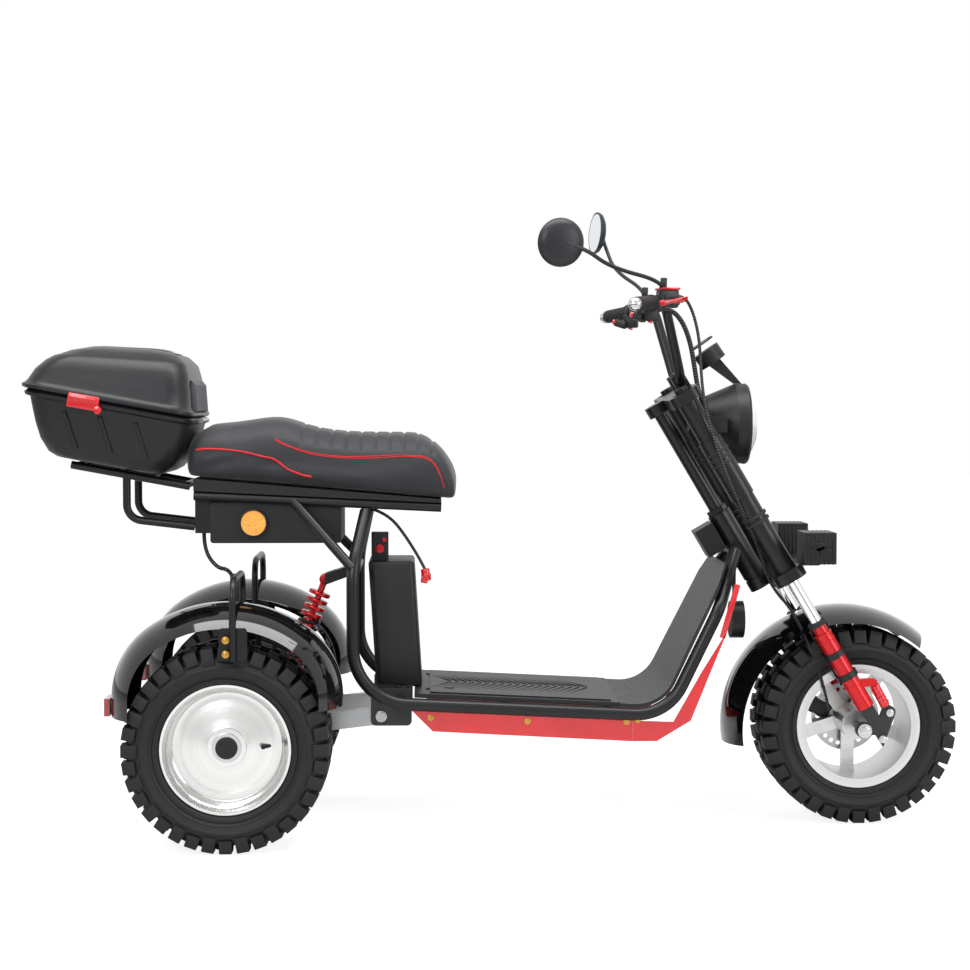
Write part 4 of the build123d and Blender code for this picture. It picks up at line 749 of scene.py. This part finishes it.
# Lamps beside the fork: finned black bodies with six round diodes each, and bolted side plates.
# Powder-coated alloy; the diodes are pale domes that stand proud of the face.
for hand, side in (("right", -1), ("left", 1)):
    face_x, middle_y, middle_z = 0.7605, side * 0.168, 0.6432
    cups, bars = [], []
    for row in (-1, 1):
        for column in (-1, 0, 1):
            spot = (face_x, middle_y + column * 0.027, middle_z + row * 0.015)
            cups.append(rod(spot, (face_x + 0.0052, spot[1], spot[2]), 0.0105, 32, 0.0025))
    hand_over(join(cups), "lamp_diodes_" + hand, "steering", dial_face)
    for index in range(7):
        x = 0.700 + index * 0.0095
        bars.append(block((x, middle_y, middle_z), (0.0035, 0.0945, 0.0718), 0.0012))
    bars.append(block((0.729, side * 0.2145, middle_z), (0.052, 0.003, 0.016), 0.001, (0, 28, 0)))
    bars.append(block((0.729, side * 0.2145, middle_z), (0.052, 0.003, 0.010), 0.001, (0, -28, 0)))
    bars.append(rod((0.728, side * 0.213, 0.652), (0.728, side * 0.2165, 0.652), 0.007, 6, 0.0008))
    hand_over(join(bars), "lamp_fins_" + hand, "steering", powder_black)

# Reflectors: round amber ones on the controller box and red ones behind the rear fenders.
# Moulded acrylic with rows of small cube corners behind a clear skin; the amber ones have a thin bezel.
cube_width = 0.0032
for name, code, edge_code, reflector in (
    ("amber_acrylic", "f79a1b", "ffb84a", "amber_reflector"),
    ("red_acrylic", "c8101a", "8c0a12", "tail_reflector"),
):
    acrylic, tree, surface, place = start_material(name, code, 0.14)
    surface.inputs["Coat Weight"].default_value = 1.0
    pattern = {"Vector": place, "Scale": 1 / cube_width}
    cubes = add_node(tree, "ShaderNodeTexVoronoi", pattern, distance="MANHATTAN")
    raise_grain(tree, surface, cubes.outputs["Distance"], 0.8, 0.0012)
    vary_colour(tree, surface, cubes.outputs["Distance"], code, edge_code)
    dress(acrylic, reflector + "_left", reflector + "_right")
bezels = []
for side in (-1, 1):
    facing = Matrix.Rotation(0 if side > 0 else pi, 4, "Z")
    ring = spun([(0.0285, 0.0), (0.0312, 0.0), (0.0312, 0.0128), (0.0290, 0.0136), (0.0280, 0.0125)], 64)
    bezels.append(placed(ring, Matrix.Translation((-0.5347, side * 0.1046, 0.6962)) @ facing))
hand_over(join(bezels), "amber_bezels", "frame", moulded_black)

# Fork seals and bands: dust seals on the stanchions, ribs on the upper covers and red bands on the lowers.
# Black rubber lips pressed over the tubes; the bands are anodised.
rake = radians(30.6)
steer_up = Vector((-sin(rake), 0, cos(rake)))
steer_ahead = Vector((cos(rake), 0, sin(rake)))
steer_middle = Vector((0.598, 0, 0.600))
leg_ahead, leg_out = 0.053, 0.134


def on_leg(side, height):
    return steer_middle + steer_ahead * leg_ahead + steer_up * height + Vector((0, side * leg_out, 0))


seals, bands = [], []
for side in (-1, 1):
    seals += [
        rod(on_leg(side, -0.1915), on_leg(side, -0.180), 0.0215, 40, 0.002),
        rod(on_leg(side, -0.060), on_leg(side, -0.045), 0.0262, 40, 0.002),
        rod(on_leg(side, -0.052), on_leg(side, -0.046), 0.0275, 40, 0.001),
    ]
    for height in (0.080, 0.094, 0.235, 0.249, 0.263):
        seals.append(rod(on_leg(side, height), on_leg(side, height + 0.007), 0.0293, 40, 0.0015))
    for height in (-0.232, -0.216, -0.352):
        bands.append(rod(on_leg(side, height), on_leg(side, height + 0.006), 0.0208, 40, 0.001))
hand_over(join(seals), "fork_seals", "steering", grip_rubber)
hand_over(join(bands), "fork_bands", "steering", red_anodised)

# Link springs: short red coils over the dampers that stand beside each fork leg.
# Wound wire, anodised red.
small_top, small_low = Vector((0.866, 0, 0.330)), Vector((0.899, 0, 0.276))
small_run = small_low - small_top
springs = []
for side in (-1, 1):
    top = small_top + Vector((0, side * leg_out, 0))
    springs.append(wound(top, small_run, 0.08, 0.84, 5, 0.0098, 0.0021))
hand_over(join(springs), "link_springs", "steering", red_anodised)

# Front lines: a brake hose down the right leg, a loom to the headlight, a throttle cable, and the caliper.
# Rubber-covered, with a fine spiral wrap; the caliper is cast alloy and stands by the disc on the left.
loom_rubber, tree, surface, place = start_material("loom_rubber", "161617", 0.5)
wrap = add_node(tree, "ShaderNodeSeparateXYZ", {"Vector": place})
wrap = add_node(tree, "ShaderNodeMath", {0: wrap.outputs["Z"], 1: 2 * pi / 0.006}, operation="MULTIPLY")
wrap = add_node(tree, "ShaderNodeMath", {0: wrap.outputs[0]}, operation="SINE")
raise_grain(tree, surface, wrap.outputs[0], 0.8, 0.001)
brake_route = [
    (409, -184, 1204), (427, -184, 1203), (447, -175, 1172), (463, -167, 1112), (467, -165, 1044),
    (473, -167, 978), (487, -168, 918), (509, -167, 850), (541, -164, 775), (573, -150, 705),
    (601, -120, 650), (616, -112, 612), (628, -106, 572), (652, -102, 533), (683, -100, 500),
    (704, -97, 462), (735, -94, 400), (760, -92, 330), (776, -90, 262),
]
loom_route = [
    (372, -160, 1176), (400, -148, 1178), (430, -132, 1150), (450, -117, 1102), (461, -106, 1046),
    (469, -100, 1000), (482, -94, 965), (496, -88, 936),
]
throttle_route = [
    (372, 160, 1176), (398, 140, 1172), (412, 112, 1140), (420, 90, 1090), (424, 76, 1040),
    (440, 62, 1008), (466, 52, 985),
]
for name, route, radius in (
    ("brake_hose", brake_route, 0.0035), ("wiring_loom", loom_route, 0.0055),
    ("throttle_cable", throttle_route, 0.0055),
):
    hand_over(hose(in_metres(route), radius), name, "steering", loom_rubber)
caliper = [
    block((0.785, -0.072, 0.245), (0.056, 0.022, 0.040), 0.006, (0, 28, 0)),
    block((0.785, -0.088, 0.245), (0.040, 0.014, 0.026), 0.004, (0, 28, 0)),
    rod((0.776, -0.096, 0.250), (0.776, -0.080, 0.250), 0.0075, 24, 0.001),
]
caliper = placed(join(caliper), Matrix.Diagonal((1, -1, 1, 1)))
caliper.data.flip_normals()
hand_over(caliper, "brake_caliper", "steering", cast_grey)

# Rear wiring: the motor lead loops from the controller box down through a sleeve to the axle beam.
# Black rubber flex with a moulded sleeve.
rear_route = [
    (-634, -70, 702), (-646, -70, 701), (-651, -82, 665), (-641, -98, 622), (-615, -107, 594),
    (-595, -103, 592), (-581, -92, 570), (-579, -92, 520), (-580, -90, 440), (-580, -84, 340),
    (-578, -76, 300),
]
hand_over(hose(in_metres(rear_route), 0.0045), "motor_lead", "frame", loom_rubber)
sleeve = rod((-0.580, -0.092, 0.580), (-0.579, -0.092, 0.510), 0.0105, 28, 0.002)
hand_over(sleeve, "motor_lead_sleeve", "frame", grip_rubber)

# Battery lock: a red ring and a small red button on the black lock body above the battery.
# Turned aluminium, anodised.
lock_parts = [
    rod((-0.252, -0.0615, 0.634), (-0.252, -0.0655, 0.634), 0.0100, 36, 0.001),
    rod((-0.242, -0.0615, 0.655), (-0.242, -0.0645, 0.655), 0.0050, 24, 0.001),
]
hand_over(join(lock_parts), "lock_ring", "frame", red_anodised)

# Top box: a case and its hinged lid, two hollow shells with side ribs, latches, a gloss strip and a back pad.
# Moulded grained ABS; the latches are enamelled and ride on the lid, and the pad is grey foam.
box_grain = finish_in_noise("box_abs", ("101113", "191a1d"), 0.34, 0.0016, 0.0006)[0]
box_wall, corner_steps = 0.004, 7


def boxed(levels, wall=0.0):
    rows = []
    for rear, front, half, corner in levels:
        row = []
        for sign_x, sign_y, turn_from in ((1, 1, 0), (-1, 1, 90), (-1, -1, 180), (1, -1, 270)):
            length = Vector((front[0] - rear[0], front[1] - rear[1])).length
            middle = ((rear[0] + front[0]) / 2, (rear[1] + front[1]) / 2)
            for step in range(corner_steps):
                angle = radians(turn_from + 90 * step / (corner_steps - 1))
                reach = sign_x * (length / 2 - corner) + corner * cos(angle)
                out = sign_y * (half - corner) + corner * sin(angle)
                share = reach / length
                row.append(
                    (middle[0] + (front[0] - rear[0]) * share, out, middle[1] + (front[1] - rear[1]) * share)
                )
        rows.append(row)
    piece = lofted("moulding", rows, open_start=wall > 0)
    if wall:
        change(piece, "SOLIDIFY", thickness=wall, offset=-1.0)
    return piece


lid_levels = [
    ((-1.034, 1.002), (-0.666, 0.935), 0.204, 0.050), ((-1.041, 1.005), (-0.662, 0.938), 0.208, 0.054),
    ((-1.041, 1.012), (-0.662, 0.944), 0.208, 0.054), ((-1.034, 1.015), (-0.666, 0.948), 0.202, 0.050),
    ((-1.028, 1.022), (-0.670, 0.956), 0.197, 0.050), ((-1.014, 1.044), (-0.672, 0.990), 0.190, 0.050),
    ((-0.992, 1.064), (-0.676, 1.026), 0.178, 0.050), ((-0.974, 1.074), (-0.682, 1.050), 0.168, 0.048),
    ((-0.966, 1.076), (-0.687, 1.057), 0.161, 0.046), ((-0.940, 1.086), (-0.702, 1.072), 0.142, 0.044),
    ((-0.905, 1.092), (-0.726, 1.081), 0.116, 0.040), ((-0.880, 1.094), (-0.748, 1.086), 0.090, 0.036),
]
lid_shell = boxed(lid_levels, box_wall)
hand_over(lid_shell, "box_lid_shell", "box_lid", box_grain, ["top_box_lid"])
lower_levels = [
    ((-1.028, 1.000), (-0.669, 0.933), 0.200, 0.048), ((-1.036, 0.994), (-0.664, 0.928), 0.206, 0.052),
    ((-1.034, 0.987), (-0.666, 0.921), 0.205, 0.052), ((-1.024, 0.983), (-0.671, 0.917), 0.196, 0.048),
    ((-1.021, 0.960), (-0.676, 0.897), 0.190, 0.048), ((-1.015, 0.925), (-0.686, 0.868), 0.182, 0.046),
    ((-1.006, 0.890), (-0.700, 0.838), 0.172, 0.044), ((-0.990, 0.860), (-0.718, 0.817), 0.160, 0.042),
    ((-0.974, 0.8485), (-0.734, 0.8085), 0.148, 0.040), ((-0.958, 0.8450), (-0.750, 0.8065), 0.136, 0.036),
]
hand_over(boxed(lower_levels, box_wall), "box_shell", "frame", box_grain, ["top_box"])
box_ribs = []
for side in (-1, 1):
    for share in (0.20, 0.50, 0.80):
        x, fall = -0.985 + 0.26 * share, 0.04 * share
        rib_points = [
            (x - 0.010, side * 0.1930, 0.955 - fall), (x, side * 0.1840, 0.920 - fall),
            (x + 0.012, side * 0.1700, 0.874 - fall),
        ]
        box_ribs.append(hose(rib_points, 0.0045))
hand_over(join(box_ribs), "box_ribs", "frame", box_grain)
gloss_strip = boxed([
    ((-0.985, 1.0705), (-0.712, 1.0780), 0.074, 0.020), ((-0.955, 1.0850), (-0.722, 1.0840), 0.070, 0.020),
    ((-0.910, 1.0945), (-0.738, 1.0880), 0.064, 0.020), ((-0.885, 1.0965), (-0.752, 1.0895), 0.056, 0.020),
])
hand_over(gloss_strip, "lid_gloss_panel", "box_lid", gloss_black)
for hand, side in (("right", -1), ("left", 1)):
    latch = [
        block((-0.898, side * 0.2085, 0.9690), (0.070, 0.010, 0.032), 0.004, (0, 10.5, 0)),
        block((-0.898, side * 0.2125, 0.9760), (0.058, 0.008, 0.008), 0.002, (0, 10.5, 0)),
        rod((-0.866, side * 0.2080, 0.9510), (-0.866, side * 0.2165, 0.9510), 0.0090, 36, 0.0015),
    ]
    hand_over(join(latch), "latch_" + hand, "box_lid", red_enamel, ["box_latch_" + hand])
pad_foam = finish_in_noise("pad_foam", ("4b4c50", "5e6065"), 0.75, 0.0035, 0.001)[0]
dress(pad_foam, "backrest")

# Battery lead: a flex from under the seat rail to a red plug in the socket on the front of the battery.
# Black rubber flex; the plug is moulded red nylon with a grip ring.
lead_route = [
    (-269, -80, 726), (-251, -80, 720), (-222, -80, 701), (-199, -80, 672), (-178, -80, 640),
    (-160, -80, 610), (-149, -80, 588),
]
hand_over(hose(in_metres(lead_route), 0.0035), "battery_lead", "frame", loom_rubber)
plug = [
    rod((-0.1495, -0.080, 0.590), (-0.1440, -0.080, 0.562), 0.0100, 32, 0.002),
    rod((-0.1470, -0.080, 0.578), (-0.1460, -0.080, 0.572), 0.0115, 32, 0.0015),
    block((-0.1500, -0.080, 0.566), (0.016, 0.020, 0.018), 0.003, (0, 12, 0)),
]
hand_over(join(plug), "battery_plug", "frame", red_enamel)

# Studio: a white floor, an even white surround, soft boxes and the photograph's camera.
floor = start_piece(bpy.ops.mesh.primitive_plane_add, size=1)
floor.name = "floor"
floor.data.transform(Matrix.Diagonal((40.0, 40.0, 1.0, 1.0)))
floor_paint = bpy.data.materials.new("pale_floor")
floor_paint.use_nodes = True
tree = floor_paint.node_tree
matt = tree.nodes["Principled BSDF"]
matt.inputs["Base Color"].default_value = linear("f4f4f4")
matt.inputs["Roughness"].default_value = 0.9
glow = add_node(tree, "ShaderNodeEmission", {"Color": linear("ffffff"), "Strength": 1.72})
path = add_node(tree, "ShaderNodeLightPath")
seen = add_node(tree, "ShaderNodeMath", {0: path.outputs["Is Camera Ray"], 1: 0.5}, operation="MULTIPLY")
blend = add_node(
    tree, "ShaderNodeMixShader",
    {0: seen.outputs[0], 1: matt.outputs["BSDF"], 2: glow.outputs["Emission"]},
)
tree.links.new(blend.outputs[0], tree.nodes["Material Output"].inputs["Surface"])
floor.data.materials.append(floor_paint)

world = bpy.data.worlds.new("white_surround")
bpy.context.scene.world = world
world.use_nodes = True
tree = world.node_tree
path = add_node(tree, "ShaderNodeLightPath")
direct = add_node(
    tree, "ShaderNodeMath", {0: path.outputs["Is Camera Ray"], 1: path.outputs["Is Glossy Ray"]},
    operation="MAXIMUM",
)
direct = add_node(
    tree, "ShaderNodeMath", {0: direct.outputs[0], 1: path.outputs["Is Transmission Ray"]},
    operation="MAXIMUM",
)
level = add_node(tree, "ShaderNodeMapRange", {"Value": direct.outputs[0], "To Min": 0.34, "To Max": 1.0})
background = tree.nodes["Background"]
background.inputs["Color"].default_value = linear("ffffff")
tree.links.new(level.outputs[0], background.inputs["Strength"])

soft_boxes = [
    ("top_box_light", (0.0, -0.7, 3.2), (0, 0, 0), (3.4, 1.3), 105),
    ("front_box_light", (-1.7, -3.4, 2.4), (58, 0, -24), (1.4, 1.4), 55),
    ("side_box_light", (2.6, -1.8, 1.5), (78, 0, 52), (0.8, 1.8), 30),
]
for name, spot, turn, (width, depth), power in soft_boxes:
    bpy.ops.object.light_add(type="AREA", location=spot, rotation=[radians(a) for a in turn])
    lamp = bpy.context.active_object
    lamp.name = name
    lamp.data.shape = "RECTANGLE"
    lamp.data.size = width
    lamp.data.size_y = depth
    lamp.data.energy = power

camera_place = (-0.14, -4.601, 0.9769)
camera_pitch = 2.4927
camera_yaw = 1.6158
sensor_width = 36.0
focal_pixels = 1991.2
photo_pixels = 970
bpy.ops.object.camera_add(
    location=camera_place, rotation=(radians(90 - camera_pitch), 0, radians(-camera_yaw))
)
camera = bpy.context.active_object
camera.data.sensor_width = sensor_width
camera.data.lens = sensor_width * focal_pixels / photo_pixels
camera.data.clip_end = 60
bpy.context.scene.camera = camera
bpy.context.scene.view_settings.view_transform = "Standard"
